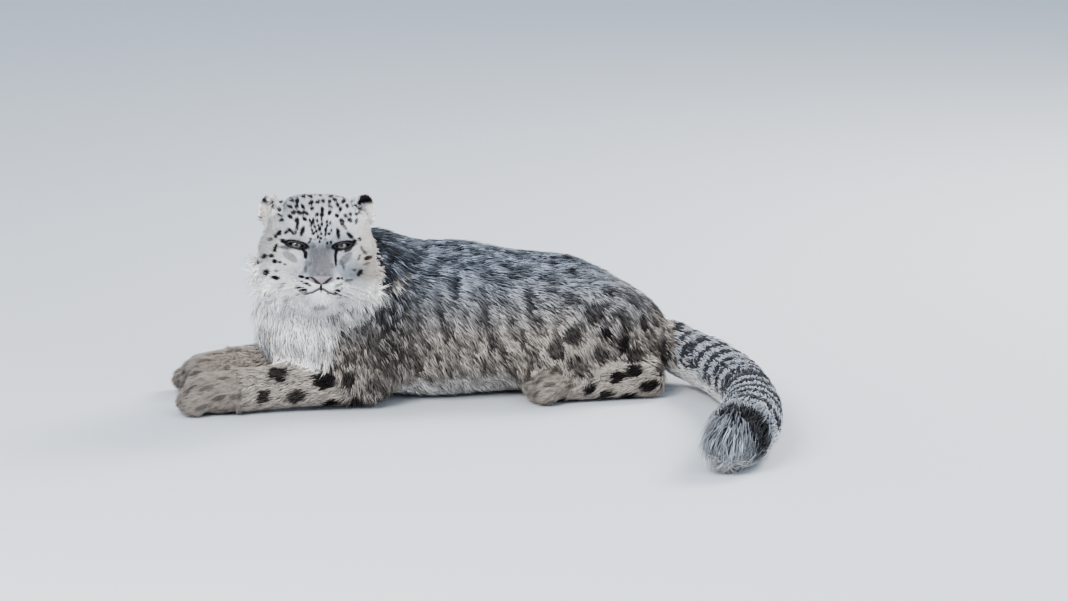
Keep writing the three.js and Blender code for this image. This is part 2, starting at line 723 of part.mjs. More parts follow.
function tailLock(start, angle, length) {
  const rise = (1 - TAIL_CORE) * tailRadius(start);
  const place = (share) => {
    const t = start + (share * length) / tailLengthMm;
    const { centre, ahead, across, up } = alongTail(t);
    const out = across.clone().multiplyScalar(Math.cos(angle)).addScaledVector(up, Math.sin(angle));
    return { under: centre.addScaledVector(out, tailRadius(t) - rise), flow: ahead, out };
  };
  return { place, size: { rise, width: 1.65 * tailRadius(start), thickness: 11 } };
}

let before = trunkGrown;
for (let k = 0; k < TAIL_LENGTHS; k++) {
  const half = GAP / 2 / tailLengthMm;
  const from = (0.96 * k) / TAIL_LENGTHS + (k ? half : 0);
  const to = (0.96 * (k + 1)) / TAIL_LENGTHS - (k < TAIL_LENGTHS - 1 ? half : 0);
  const locks = [];
  for (let ring = 0; ring < TAIL_RINGS; ring++) {
    const start = 0.05 + (0.82 * ring) / (TAIL_RINGS - 1);
    if (start < from + 0.012 || start >= to) continue;
    for (let i = 0; i < TAIL_RING_LOCKS; i++) {
      const turn = (i + 0.5 * (ring % 2)) / TAIL_RING_LOCKS + 0.25;
      const angle = 2 * Math.PI * turn + draw(-0.12, 0.12);
      locks.push(tailLock(start, angle, TAIL_LOCK_LENGTH * draw(0.92, 1.08)));
    }
  }
  const coat = coatOf(locks);
  const length = tailLoft(from, to, 5, 10).add(coat.solid);
  addNode(`tail_${k + 1}`, onGround(length.subtract(before)), COAT);
  before = coat.room;
}

// The origin goes under the middle of the animal

const box = new THREE.Box3().setFromObject(leopard);
leopard.position.set(-(box.min.x + box.max.x) / 2, -(box.min.y + box.max.y) / 2, 0);

export default leopard;
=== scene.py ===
import math

import bpy
import numpy as np
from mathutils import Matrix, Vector
from mathutils.bvhtree import BVHTree
from mathutils.kdtree import KDTree


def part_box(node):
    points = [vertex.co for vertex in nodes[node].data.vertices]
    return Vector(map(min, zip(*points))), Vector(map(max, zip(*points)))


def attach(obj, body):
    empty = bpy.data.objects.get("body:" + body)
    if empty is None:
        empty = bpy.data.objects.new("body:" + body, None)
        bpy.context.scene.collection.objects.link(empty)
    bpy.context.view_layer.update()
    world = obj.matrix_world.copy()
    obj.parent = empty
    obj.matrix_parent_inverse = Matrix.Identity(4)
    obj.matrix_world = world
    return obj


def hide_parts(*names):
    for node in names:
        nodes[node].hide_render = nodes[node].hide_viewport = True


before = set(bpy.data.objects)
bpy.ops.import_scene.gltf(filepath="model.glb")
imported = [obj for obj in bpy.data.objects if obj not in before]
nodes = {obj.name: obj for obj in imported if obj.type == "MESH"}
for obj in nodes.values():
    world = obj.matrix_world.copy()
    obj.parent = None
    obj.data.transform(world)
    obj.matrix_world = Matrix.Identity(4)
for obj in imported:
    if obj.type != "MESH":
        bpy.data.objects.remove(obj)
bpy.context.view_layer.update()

# The animal's own axes. The solids say where the eyes and the nose are, and from them come the three
# directions of the head and the point on the ground from which all places on the body are measured.
NOSE_AHEAD_OF_EYES = 0.069
NOSE_BELOW_EYES = 0.051
EYES_FROM_ORIGIN = Vector((-0.277, -0.152, 0.288))
EYES_BEHIND_BROW = 0.006


def middle(node):
    low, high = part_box(node)
    return (low + high) / 2


eyes = {1: middle("eye_left"), -1: middle("eye_right")}
between_eyes = (eyes[1] + eyes[-1]) / 2
to_left = (eyes[1] - eyes[-1]).normalized()
to_nose = middle("nose") - between_eyes
to_nose = (to_nose - to_nose.dot(to_left) * to_left).normalized()
nose_slope = math.atan2(NOSE_BELOW_EYES, NOSE_AHEAD_OF_EYES)
square_to_nose = to_nose.cross(to_left)
to_front = to_nose * math.cos(nose_slope) + square_to_nose * math.sin(nose_slope)
to_top = square_to_nose * math.cos(nose_slope) - to_nose * math.sin(nose_slope)
origin = between_eyes + EYES_BEHIND_BROW * to_front - EYES_FROM_ORIGIN


def on_head(ahead, aside, above):
    """A place measured from midway between the eyes, in metres."""
    return between_eyes + float(ahead) * to_front + float(aside) * to_left + float(above) * to_top


def on_body(x, y, z):
    """A place measured from the ground under the withers, in metres."""
    return origin + Vector((x, y, z))


def head_places(points):
    """How far ahead, to the left of and above the eyes each row of points lies."""
    axes = np.array([to_front, to_left, to_top])
    return (points - np.array(between_eyes)) @ axes.T


# Camera, floor and light. The photograph is taken from far off with a long lens, a little above the
# animal, and it is framed here by the place of the eyes in it and by the size of one of its pixels.
AZIMUTH = math.radians(-12)
ELEVATION = math.radians(11)
PHOTO_SIZE = (1068, 601)
EYES_IN_PHOTO = (319.1, 245.2)
PIXEL_AT_EYES = 0.001642
CAMERA_DISTANCE = 8.69
SENSOR = 36
FARTHEST_SEEN = 100
FLOOR_SIZE = 60
FLOOR_COLOUR = (0.66, 0.68, 0.71, 1)
FLOOR_ROUGHNESS = 0.9
SKY_COLOUR = (0.70, 0.83, 1.0, 1)
SKY_STRENGTH = 0.62
LIT_POINT = Vector((0, 0, 0.15))
EXPOSURE = 0.38

look = Vector((-math.sin(AZIMUTH) * math.cos(ELEVATION),
               math.cos(AZIMUTH) * math.cos(ELEVATION), -math.sin(ELEVATION)))
look_right = Vector((math.cos(AZIMUTH), math.sin(AZIMUTH), 0))
look_up = look_right.cross(look)
target = between_eyes + look_right * (PHOTO_SIZE[0] / 2 - EYES_IN_PHOTO[0]) * PIXEL_AT_EYES
target += look_up * (EYES_IN_PHOTO[1] - PHOTO_SIZE[1] / 2) * PIXEL_AT_EYES
bpy.ops.object.camera_add(location=target - look * CAMERA_DISTANCE,
                          rotation=(-look).to_track_quat("Z", "Y").to_euler())
camera = bpy.context.object
camera.data.sensor_width = SENSOR
camera.data.lens = SENSOR * CAMERA_DISTANCE / (PHOTO_SIZE[0] * PIXEL_AT_EYES)
camera.data.clip_end = FARTHEST_SEEN
bpy.context.scene.camera = camera


def new_finish(name, values):
    """A material with plain values on its surface: gives it, its node tree and its surface node."""
    finish = bpy.data.materials.new(name)
    finish.use_nodes = True
    surface = finish.node_tree.nodes["Principled BSDF"]
    for socket, value in values.items():
        surface.inputs[socket].default_value = value
    return finish, finish.node_tree, surface


bpy.ops.mesh.primitive_plane_add(size=FLOOR_SIZE)
floor = bpy.context.object
floor.name = "floor"
floor_finish = new_finish("pale floor", {"Base Color": FLOOR_COLOUR, "Roughness": FLOOR_ROUGHNESS})[0]
floor.data.materials.append(floor_finish)

world = bpy.data.worlds.new("soft daylight")
world.use_nodes = True
world.node_tree.nodes["Background"].inputs["Color"].default_value = SKY_COLOUR
world.node_tree.nodes["Background"].inputs["Strength"].default_value = SKY_STRENGTH
bpy.context.scene.world = world


def softbox(place, size, power, colour):
    """A square light that faces the middle of the animal."""
    bpy.ops.object.light_add(type="AREA", location=place)
    light = bpy.context.object
    light.data.size = size
    light.data.energy = power
    light.data.color = colour
    light.rotation_euler = (Vector(place) - LIT_POINT).to_track_quat("Z", "Y").to_euler()


softbox((-2.2, -2.6, 2.9), 2.2, 150, (1.0, 0.97, 0.93))
softbox((2.8, 1.6, 2.6), 1.6, 110, (1.0, 0.95, 0.88))
softbox((1.6, -3.2, 1.6), 2.6, 35, (0.9, 0.95, 1.0))
bpy.context.scene.view_settings.look = "AgX - Medium High Contrast"
bpy.context.scene.view_settings.exposure = EXPOSURE

# Skin. The real hide is one piece from the nose to the end of the tail. It is remade here from copies of
# the solids, melted together, smoothed where the solids have locks and drawn in by the depth of the coat.
FLESH = [name for name in sorted(nodes) if not name.startswith(("eye", "nose"))]
FEATURES = ["eye_left", "eye_right", "nose"]
BODY_GRAIN = 0.006
HEAD_GRAIN = 0.0022
MERGE_DISTANCE = 0.00001
TAIL_LINE = [
    (0.290, 0, 0.086), (0.330, -0.004, 0.072), (0.372, -0.038, 0.056), (0.400, -0.112, 0.048),
    (0.410, -0.218, 0.0465), (0.403, -0.330, 0.0465), (0.384, -0.440, 0.0465), (0.353, -0.546, 0.048),
    (0.312, -0.640, 0.050), (0.270, -0.712, 0.050),
]
TAIL_STEPS = 12
TAIL_SIDES = 20
TAIL_RADIUS = 0.046
TAIL_WAIST = 0.009
FACE_SETBACK = 0.014
BODY_ROUNDS = 34
MUZZLE_ROUNDS = 5
JOWL_ROUNDS = 170


def select(pieces, active):
    """Selects only the given pieces and makes one of them active."""
    bpy.ops.object.select_all(action="DESELECT")
    for piece in pieces:
        piece.select_set(True)
    bpy.context.view_layer.objects.active = active


def on_whole_mesh(piece, operator, **settings):
    """Runs one edit operator on all of a piece."""
    select([piece], piece)
    bpy.ops.object.mode_set(mode="EDIT")
    bpy.ops.mesh.select_all(action="SELECT")
    operator(**settings)
    bpy.ops.object.mode_set(mode="OBJECT")


def joined_copy(names, label):
    """One mesh made of copies of the named solids, with their loose triangles merged."""
    twins = []
    for name in names:
        twins.append(bpy.data.objects.new(f"{label}_{name}", nodes[name].data.copy()))
        bpy.context.collection.objects.link(twins[-1])
    piece = twins[-1]
    select(twins, piece)
    if len(twins) > 1:
        bpy.ops.object.join()
    piece.name = label
    on_whole_mesh(piece, bpy.ops.mesh.remove_doubles, threshold=MERGE_DISTANCE)
    return piece


def apply(piece, kind, **settings):
    """Adds one modifier and applies it."""
    change = piece.modifiers.new(kind.lower(), kind)
    for name, value in settings.items():
        setattr(change, name, value)
    select([piece], piece)
    bpy.ops.object.modifier_apply(modifier=change.name)


def smooth_line(points, steps):
    """A curve through all the points, with the given number of steps between two of them."""
    points = np.array(points, float)
    ends = np.vstack([2 * points[0] - points[1], points, 2 * points[-1] - points[-2]])
    rows = []
    for i in range(1, len(ends) - 2):
        a, b, c, d = ends[i - 1:i + 3]
        for t in np.arange(steps) / steps:
            rows.append(0.5 * (2 * b + (c - a) * t + (2 * a - 5 * b + 4 * c - d) * t ** 2
                               + (3 * b - a - 3 * c + d) * t ** 3))
    return np.vstack(rows + [points[-1]])


def units(vectors):
    """The same directions, one metre long."""
    return vectors / np.maximum(np.linalg.norm(vectors, axis=-1, keepdims=True), 1e-9)


def mesh_piece(name, points, faces):
    """An object made of points and of faces that all have the same number of corners."""
    mesh = bpy.data.meshes.new(name)
    mesh.vertices.add(len(points))
    mesh.vertices.foreach_set("co", points.astype(np.float32).ravel())
    mesh.loops.add(faces.size)
    mesh.loops.foreach_set("vertex_index", faces.astype(np.int32).ravel())
    mesh.polygons.add(len(faces))
    mesh.polygons.foreach_set("loop_start", np.arange(0, faces.size, faces.shape[1], dtype=np.int32))
    mesh.update(calc_edges=True)
    mesh.shade_smooth()
    piece = bpy.data.objects.new(name, mesh)
    bpy.context.collection.objects.link(piece)
    return piece


def rod(name, line, radii, sides, upright=(0, 0, 1)):
    """A closed tube along a line, with its own radius at each point of the line."""
    ahead = units(np.gradient(line, axis=0))
    across = units(np.cross(ahead, np.array(upright, float)))
    over = np.cross(across, ahead)
    turn = np.arange(sides) * 2 * math.pi / sides
    ring = np.cos(turn)[:, None] * across[:, None, :] + np.sin(turn)[:, None] * over[:, None, :]
    points = (line[:, None, :] + radii[:, None, None] * ring).reshape(-1, 3)
    points = np.vstack([points, line[0], line[-1]])
    faces = []
    for k in range(len(line) - 1):
        for i in range(sides):
            j = (i + 1) % sides
            a, b = k * sides + i, k * sides + j
            faces += [(a, b, b + sides), (a, b + sides, a + sides)]
    last = (len(line) - 1) * sides
    for i in range(sides):
        j = (i + 1) % sides
        faces += [(len(points) - 2, j, i), (len(points) - 1, last + i, last + j)]
    return mesh_piece(name, points, np.array(faces))


def vertices_of(piece, what="co"):
    """The places of all vertices, or their normals."""
    flat = np.empty(len(piece.data.vertices) * 3, np.float32)
    if what == "co":
        piece.data.vertices.foreach_get("co", flat)
    else:
        piece.data.vertex_normals.foreach_get("vector", flat)
    return flat.reshape(-1, 3).astype(float)


def set_places(piece, points):
    """Moves all vertices to new places."""
    piece.data.vertices.foreach_set("co", points.astype(np.float32).ravel())
    piece.data.update()


def edges_of(piece):
    """The two ends of every edge."""
    flat = np.empty(len(piece.data.edges) * 2, np.int32)
    piece.data.edges.foreach_get("vertices", flat)
    return flat.reshape(-1, 2)


def blurred(values, edges, rounds):
    """Values at the vertices of a mesh, each drawn towards the mean of its neighbours."""
    count = len(values)
    degree = np.maximum(np.bincount(edges.ravel(), minlength=count), 1)
    values = values.reshape(count, -1)
    for _ in range(rounds):
        columns = []
        for k in range(values.shape[1]):
            sums = np.bincount(edges[:, 0], values[edges[:, 1], k], count)
            sums += np.bincount(edges[:, 1], values[edges[:, 0], k], count)
            columns.append(sums / degree)
        values = 0.4 * values + 0.6 * np.stack(columns, 1)
    return values


def ramp(values, low, high):
    """0 below low, 1 above high, with a smooth rise between."""
    t = np.clip((values - low) / (high - low), 0, 1)
    return t * t * (3 - 2 * t)


def settle(piece, share, rounds, depth):
    """Smooths a mesh by its share at each vertex, then draws it in by its depth at each vertex."""
    points = vertices_of(piece)
    ends = edges_of(piece)
    for _ in range(rounds):
        points += share[:, None] * (blurred(points, ends, 1) - points)
    set_places(piece, points)
    set_places(piece, points - depth[:, None] * vertices_of(piece, "normal"))


node_of_face = []
solid_points = []
solid_faces = []
for number, name in enumerate(FLESH):
    first = len(solid_points)
    solid_points.extend(v.co.copy() for v in nodes[name].data.vertices)
    for face in nodes[name].data.polygons:
        solid_faces.append([first + v for v in face.vertices])
        node_of_face.append(number)
solids = BVHTree.FromPolygons(solid_points, solid_faces)


def node_at(points):
    """The solid nearest to each point, as its number in FLESH."""
    return np.array([node_of_face[solids.find_nearest(Vector(p))[2]] for p in points])


def table_by_node(values):
    """A row for each solid, from rows given for the beginnings of the names without left or right.
    Where several beginnings fit, the longest is taken."""
    rows = []
    for name in FLESH:
        plain = name.replace("_left", "").replace("_right", "")
        rows.append(values[max([start for start in values if plain.startswith(start)], key=len)])
    return np.array(rows, float)


COAT_DEPTH = table_by_node({
    "torso": 0.013, "neck": 0.016, "head": 0.008, "ear": 0.006, "tail": 0.0,
    "foreleg": 0.008, "foreleg_upper": 0.011, "hindleg": 0.008, "hindleg_upper": 0.011,
})
SMOOTHING = table_by_node({
    "torso": 1.0, "neck": 1.0, "head": 1.0, "ear": 1.0, "tail": 0.3, "foreleg": 0.2, "hindleg": 0.2,
})

tail_line = smooth_line([on_body(*p) for p in TAIL_LINE], TAIL_STEPS)
tail_share = np.linspace(0, 1, len(tail_line))
tail_radii = (TAIL_RADIUS - TAIL_WAIST * ramp(tail_share, 0, 0.2)) + TAIL_WAIST * ramp(tail_share, 0.55, 0.85)
tail_radii *= np.sqrt(np.clip(1 - (np.clip(tail_share - 0.86, 0, 1) / 0.145) ** 2, 0.02, 1))

tail_core = rod("tail_core", tail_line, tail_radii, TAIL_SIDES)
skin = joined_copy([name for name in FLESH if not name.startswith("tail")] + FEATURES, "skin")
select([tail_core, skin], skin)
bpy.ops.object.join()
apply(skin, "REMESH", mode="VOXEL", voxel_size=BODY_GRAIN)
owner = node_at(vertices_of(skin))
edges = edges_of(skin)
share = blurred(SMOOTHING[owner], edges, 4)[:, 0]
depth = blurred(COAT_DEPTH[owner], edges, 8)[:, 0]
under_face = ramp(head_places(vertices_of(skin))[:, 0], -0.05, -0.015)
depth += FACE_SETBACK * under_face * (owner == FLESH.index("head"))
settle(skin, share, BODY_ROUNDS, depth)
apply(skin, "REMESH", mode="VOXEL", voxel_size=BODY_GRAIN)

head = joined_copy(["head", "ear_left", "ear_right"] + FEATURES, "head_skin")
apply(head, "REMESH", mode="VOXEL", voxel_size=HEAD_GRAIN)
on_face = head_places(vertices_of(head))
jowl = ramp(-on_face[:, 0], 0.0, 0.045) * ramp(-on_face[:, 2], 0.0, 0.035)
crown = ramp(on_face[:, 2], 0.02, 0.07)
on_ear = np.isin(node_at(vertices_of(head)), [FLESH.index("ear_left"), FLESH.index("ear_right")])
settle(head, 0.35 + 0.65 * jowl, MUZZLE_ROUNDS, np.zeros(len(on_face)))
settle(head, jowl, JOWL_ROUNDS, 0.0022 + 0.006 * jowl + 0.002 * crown * (1 - on_ear))

# Paws. Each is remade finer than its leg, so that the toes stay apart. The wrist is smoothed and drawn in
# as deep as the leg, so that the paw runs on into it without a step, and the two are melted together.
PAW_GRAIN = 0.003
PAW_ROUNDS = 2
PAW_DEPTH = 0.0045
WRIST_DEPTH = 0.0055
TOES_FROM_SHANK = 0.045
lower_legs = joined_copy([name for name in FLESH if name.endswith("lower")], "lower_legs")
shanks = BVHTree.FromObject(lower_legs, bpy.context.evaluated_depsgraph_get())
bpy.data.objects.remove(lower_legs)
paws = joined_copy([name for name in FLESH if name.endswith("paw")], "paws")
apply(paws, "REMESH", mode="VOXEL", voxel_size=PAW_GRAIN)
from_shank = np.array([shanks.find_nearest(Vector(p))[3] for p in vertices_of(paws)])
wrist = 1 - ramp(from_shank, 0.0, TOES_FROM_SHANK)
settle(paws, 0.5 + 0.5 * wrist, PAW_ROUNDS, PAW_DEPTH + WRIST_DEPTH * wrist)
apply(skin, "BOOLEAN", object=paws, operation="UNION", solver="MANIFOLD")
bpy.data.objects.remove(paws)

# Lids, eye openings and the line of the mouth. The crown is rounded between the ears, the lids are laid
# close over the eyeballs, and almond openings and the mouth are cut into the hide.
EYE_RADIUS = 0.0143
LID_THICKNESS = 0.0017
LID_REACH = (0.021, 0.0135)
CROWN_DROP = 0.013
CROWN_HALF_WIDTH = 0.072
TEMPLE_WIDTH = 0.010
EAR_DROP = {1: 0.002, -1: 0.007}
top_way, left_way, front_way = (np.array(way) for way in (to_top, to_left, to_front))
eye_spot = {side: head_places(np.array(eyes[side])[None])[0] for side in (1, -1)}
head_points = vertices_of(head)
ahead, aside, above = head_places(head_points).T
crown_edge = ramp(above, 0.040, 0.075) * np.clip((np.abs(aside) / CROWN_HALF_WIDTH) ** 3, 0, 1) * (1 - on_ear)
head_points -= CROWN_DROP * crown_edge[:, None] * top_way
temple = ramp(above, -0.005, 0.030) * ramp(np.abs(aside), 0.045, 0.075) * (1 - on_ear)
head_points -= TEMPLE_WIDTH * (temple * np.sign(aside))[:, None] * left_way
for side in (1, -1):
    whole_ear = ramp(aside * side, 0.050, 0.065) * ramp(above, 0.040, 0.060)
    head_points -= EAR_DROP[side] * whole_ear[:, None] * top_way
for side in (1, -1):
    away = head_points - np.array(eyes[side])
    reach = np.linalg.norm(away, axis=1)
    near = np.hypot((aside - eye_spot[side][1]) / LID_REACH[0], (above - eye_spot[side][2]) / LID_REACH[1])
    close = (1 - ramp(near, 0.75, 1.5)) * (ahead > 0)
    head_points += away * (close * ((EYE_RADIUS + LID_THICKNESS) / reach - 1))[:, None]
set_places(head, head_points)

OPENING_HALF_LENGTH = 0.0142
OPENING_HALF_HEIGHT = 0.0056
OPENING_SHIFT = 0.0015
OPENING_SLANT = 0.17
OPENING_POINTS = 28
OPENING_ENDS = (0.030, -0.003)
MOUTH_CORNERS = [(0.036, -0.082), (0.024, -0.081), (0.011, -0.077), (0, -0.072)]
MOUTH_RAISE = 0.0005
MOUTH_RADIUS = 0.0017
PARTING_HEIGHTS = (-0.071, -0.066, -0.060)
PARTING_RADIUS = 0.0012
CUT_SIDES = 8
IN_FRONT = 0.2


def head_surface(aside, above):
    """The point of the hide straight behind a place in front of the face."""
    return np.array(hide.ray_cast(on_head(IN_FRONT, aside, above), -to_front)[0])


def almond(side, count):
    """Points round the opening of the lids, in metres aside of and above the middle of the eyes."""
    turn = np.arange(count) * 2 * math.pi / count
    out = OPENING_HALF_LENGTH * np.cos(turn)
    tall = np.where(np.sin(turn) > 0, 0.88, 1.0) * OPENING_HALF_HEIGHT
    up = tall * np.sin(turn) * (1 - 0.25 * np.cos(turn) ** 2) + OPENING_SLANT * out
    return eye_spot[side][1] + side * (out + OPENING_SHIFT), eye_spot[side][2] + up


hide = BVHTree.FromObject(head, bpy.context.evaluated_depsgraph_get())
cutters = []
for side in (1, -1):
    asides, aboves = almond(side, OPENING_POINTS)
    points = [on_head(end, a, b) for end in OPENING_ENDS for a, b in zip(asides, aboves)]
    points += [on_head(end, asides.mean(), aboves.mean()) for end in OPENING_ENDS]
    count = OPENING_POINTS
    faces = []
    for i in range(count):
        a, b = (i, (i + 1) % count)[::side]
        faces += [(a, a + count, b + count), (a, b + count, b), (2 * count, a, b),
                  (2 * count + 1, b + count, a + count)]
    cutters.append(mesh_piece("eye_cutter", np.array(points), np.array(faces)))
other_half = [(-aside, above) for aside, above in MOUTH_CORNERS[-2::-1]]
groove = smooth_line([head_surface(a, b + MOUTH_RAISE) for a, b in MOUTH_CORNERS + other_half], 6)
cutters.append(rod("mouth_cutter", groove, np.full(len(groove), MOUTH_RADIUS), CUT_SIDES, upright=to_front))
parting = smooth_line([head_surface(0, above) for above in PARTING_HEIGHTS], 4)
cutters.append(rod("parting_cutter", parting, np.full(len(parting), PARTING_RADIUS), CUT_SIDES,
                   upright=to_front))
apply(skin, "BOOLEAN", object=head, operation="UNION", solver="MANIFOLD")
bpy.data.objects.remove(head)
for cutter in cutters:
    on_whole_mesh(cutter, bpy.ops.mesh.normals_make_consistent, inside=False)
    apply(skin, "BOOLEAN", object=cutter, operation="DIFFERENCE", solver="MANIFOLD")
    bpy.data.objects.remove(cutter)
apply(skin, "TRIANGULATE")
skin.data.shade_smooth()

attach(skin, "root")
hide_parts(*FLESH)

# Lie and length of the coat. Hair runs back from the nose, down the flanks, along the legs to the toes and
# along the tail to its end. It is shortest on the muzzle and the feet and longest on the breast and tail.
# Strength of the painted shade in the creases between the toes.
TOE_CREASE_SHADE = 0.8
edges = edges_of(skin)
places = vertices_of(skin)
normals = units(blurred(vertices_of(skin, "normal"), edges, 2))
owner = node_at(places)
region = np.array(FLESH)[owner]
ahead, aside, above = head_places(places).T
nose_tip = np.array(on_head(0.072, 0, -0.048))
head_middle = np.array(on_head(-0.06, 0, 0))


def starts(word):
    """Which places of the hide are on solids whose names start so."""
    return np.char.startswith(region, word)


def nearest_on_tail(points):
    """The number of the nearest point of the tail's line, of every third one."""
    gap = ((points[:, None, :] - tail_line[None, ::3, :]) ** 2).sum(2)
    return gap.argmin(1) * 3


is_head = starts("head") | starts("ear")
is_tail = starts("tail")
is_upper_leg = np.char.endswith(region, "upper")
breast = (starts("torso_chest") | starts("neck")) & (normals[:, 0] < -0.2)
is_neck = starts("neck") & ~breast
upper = np.clip(normals[:, 2], 0, 1)
lie = np.stack([0.55 + 0.45 * upper, 0 * upper, -0.85 * (1 - upper) - 0.05], 1)
lie[breast] = (0.1, 0, -1)
lie[(starts("foreleg") | starts("hindleg")) & ~is_upper_leg] = (-1, 0, -0.25)
lie[starts("foreleg") & is_upper_leg] = (0.3, 0, -1)
lie[starts("hindleg") & is_upper_leg] = (0.5, 0, -0.9)

tail_ahead = units(np.gradient(tail_line, axis=0))
on_tail = nearest_on_tail(places[is_tail])
droop = 1.1 * ramp(tail_share[on_tail], 0.85, 0.97)
lie[is_tail] = tail_ahead[on_tail] - droop[:, None] * np.array((0, 0, 1))

sides = ramp(-ahead, -0.01, 0.03) * ramp(np.abs(aside), 0.045, 0.070) * is_head
jaw = ramp(-above, 0.055, 0.085) * ramp(np.abs(aside), 0.030, 0.055)
jaw = np.maximum(jaw, ramp(-above, 0.089, 0.100)) * is_head
fall = 0.7 * ramp(-ahead, 0.02, 0.08) * ramp(-above, 0, 0.05) + 0.5 * sides + 0.9 * jaw
lie[is_head] = (units(places - nose_tip) - 0.5 * front_way)[is_head]
lie[is_head] -= top_way * fall[is_head, None]
lie[is_head] += left_way * (0.25 * sides * np.sign(aside))[is_head, None]
lie[is_neck] = 0.5 * units(places - head_middle)[is_neck] + (0.35, 0, -0.9)
for side, word in ((1, "ear_left"), (-1, "ear_right")):
    ear_base = np.array(on_head(-0.090, 0.066 * side, 0.045))
    lie[starts(word)] = units(places - ear_base)[starts(word)]
lie = blurred(units(lie), edges, 6)
lie -= (lie * normals).sum(1)[:, None] * normals
lie = units(lie)

# Lengths in metres and lifts in degrees. The head's own length is worked out from the nose, below.
COAT_LENGTH = table_by_node({
    "torso": 0.030, "torso_rump": 0.027, "neck": 0.036, "head": 0, "ear": 0.006, "tail": 0.036,
    "foreleg": 0.020, "foreleg_upper": 0.026, "foreleg_paw": 0.011,
    "hindleg": 0.020, "hindleg_upper": 0.025, "hindleg_paw": 0.011,
})
COAT_LIFT = table_by_node({
    "torso": 17, "neck": 20, "head": 18, "ear": 18, "tail": 12, "foreleg": 20, "hindleg": 20,
})
nose_distance = np.linalg.norm(places - nose_tip, axis=1)
ruff = ramp(-ahead, 0.02, 0.07) * ramp(-above, 0.01, 0.06)
head_length = 0.0026 + 0.040 * nose_distance + 0.020 * ruff + 0.010 * sides + 0.014 * jaw
ear_hollow = starts("ear") * ramp(normals @ front_way, 0.1, 0.5)
far_ruff = ramp(-aside, 0.055, 0.085) * ramp(above, -0.07, -0.04)
far_ruff = far_ruff * (starts("neck") | starts("torso_chest"))
length = np.where(starts("head"), head_length, COAT_LENGTH[owner])
length = length + 0.005 * ear_hollow
length = length + 0.012 * is_tail * ramp(tail_share[nearest_on_tail(places)], 0.75, 0.95)
length = length + np.where(breast, 0.012, 0)
length = length * (1 - 0.55 * far_ruff)
length = blurred(length, edges, 24)[:, 0]
# Painted shade in the creases between the toes: hollows of the paws, beyond the shank, darken the hair that
# grows there.
hollow = ((blurred(places, edges, 8) - places) * normals).sum(1)
crease = TOE_CREASE_SHADE * ramp(hollow, 0.0002, 0.0010)
for v in np.flatnonzero(crease):
    crease[v] *= region[v].endswith("paw") and shanks.find_nearest(Vector(places[v]))[3] > TOES_FROM_SHANK
crease = blurred(crease, edges, 1)[:, 0]
lift = blurred(COAT_LIFT[owner], edges, 8)[:, 0] - 3 * sides + 8 * ear_hollow - 10 * far_ruff

# Markings. Dark rosettes and spots are scattered over the body, each region with its own size and spacing,
# and the face has its own marks, which are placed one by one from measurements in millimetres.
rng = np.random.default_rng(20417)
SPOT_TRIES = 26000
POINTS_AT_ONCE = 20000


def ripple(points, wavelength, seed, waves=5):
    """A smooth random field between -1 and 1 with bumps of about the given size."""
    own = np.random.default_rng(seed)
    total = np.zeros(len(points))
    for _ in range(waves):
        direction = units(own.normal(size=3)) * 2 * math.pi / (wavelength * own.uniform(0.7, 1.4))
        total += np.sin(points @ direction + own.uniform(0, 6.28))
    return total / waves * 1.3


# For each region: half length of a spot, room for each, share of ring against solid, strength, stretch.
NO_SPOTS = (0.001, 0.5, 0, 0, 1)
SPOTS = table_by_node({
    "torso": (0.014, 0.034, 0.7, 0.62, 1.3), "torso_rump": (0.018, 0.040, 0.6, 0.95, 1.1),
    "neck": (0.010, 0.026, 0.3, 0.7, 1.3), "head": NO_SPOTS, "ear": NO_SPOTS, "tail": NO_SPOTS,
    "foreleg": (0.0155, 0.038, 0.0, 1.0, 1.2), "foreleg_upper": (0.015, 0.036, 0.3, 0.95, 1.2),
    "hindleg": (0.012, 0.030, 0.0, 1.0, 1.3), "hindleg_upper": (0.015, 0.034, 0.3, 1.0, 1.15),
    "foreleg_paw": (0.006, 0.026, 0.0, 0.6, 2.0), "hindleg_paw": (0.006, 0.026, 0.0, 0.6, 2.0),
})
spot_values = blurred(SPOTS[owner], edges, 4)
spacing = spot_values[:, 1]
centres = []
for v in rng.permutation(np.flatnonzero(~is_head & ~is_tail))[:SPOT_TRIES]:
    if not centres or (((places[centres] - places[v]) ** 2).sum(1) >= spacing[v] ** 2).all():
        centres.append(v)
spot_place = places[centres]
spot_size, _, spot_ring, spot_strength, spot_stretch = spot_values[centres].T
spot_size = spot_size * rng.uniform(0.75, 1.2, len(centres))
spot_along = lie[centres]
spot_aside = np.cross(spot_along, normals[centres])
spot_turn = rng.uniform(0, 6.28, len(centres))
spot_lobes = rng.integers(3, 6, len(centres))
spot_ring = np.clip(spot_ring + rng.uniform(-0.3, 0.3, len(centres)), 0, 1)


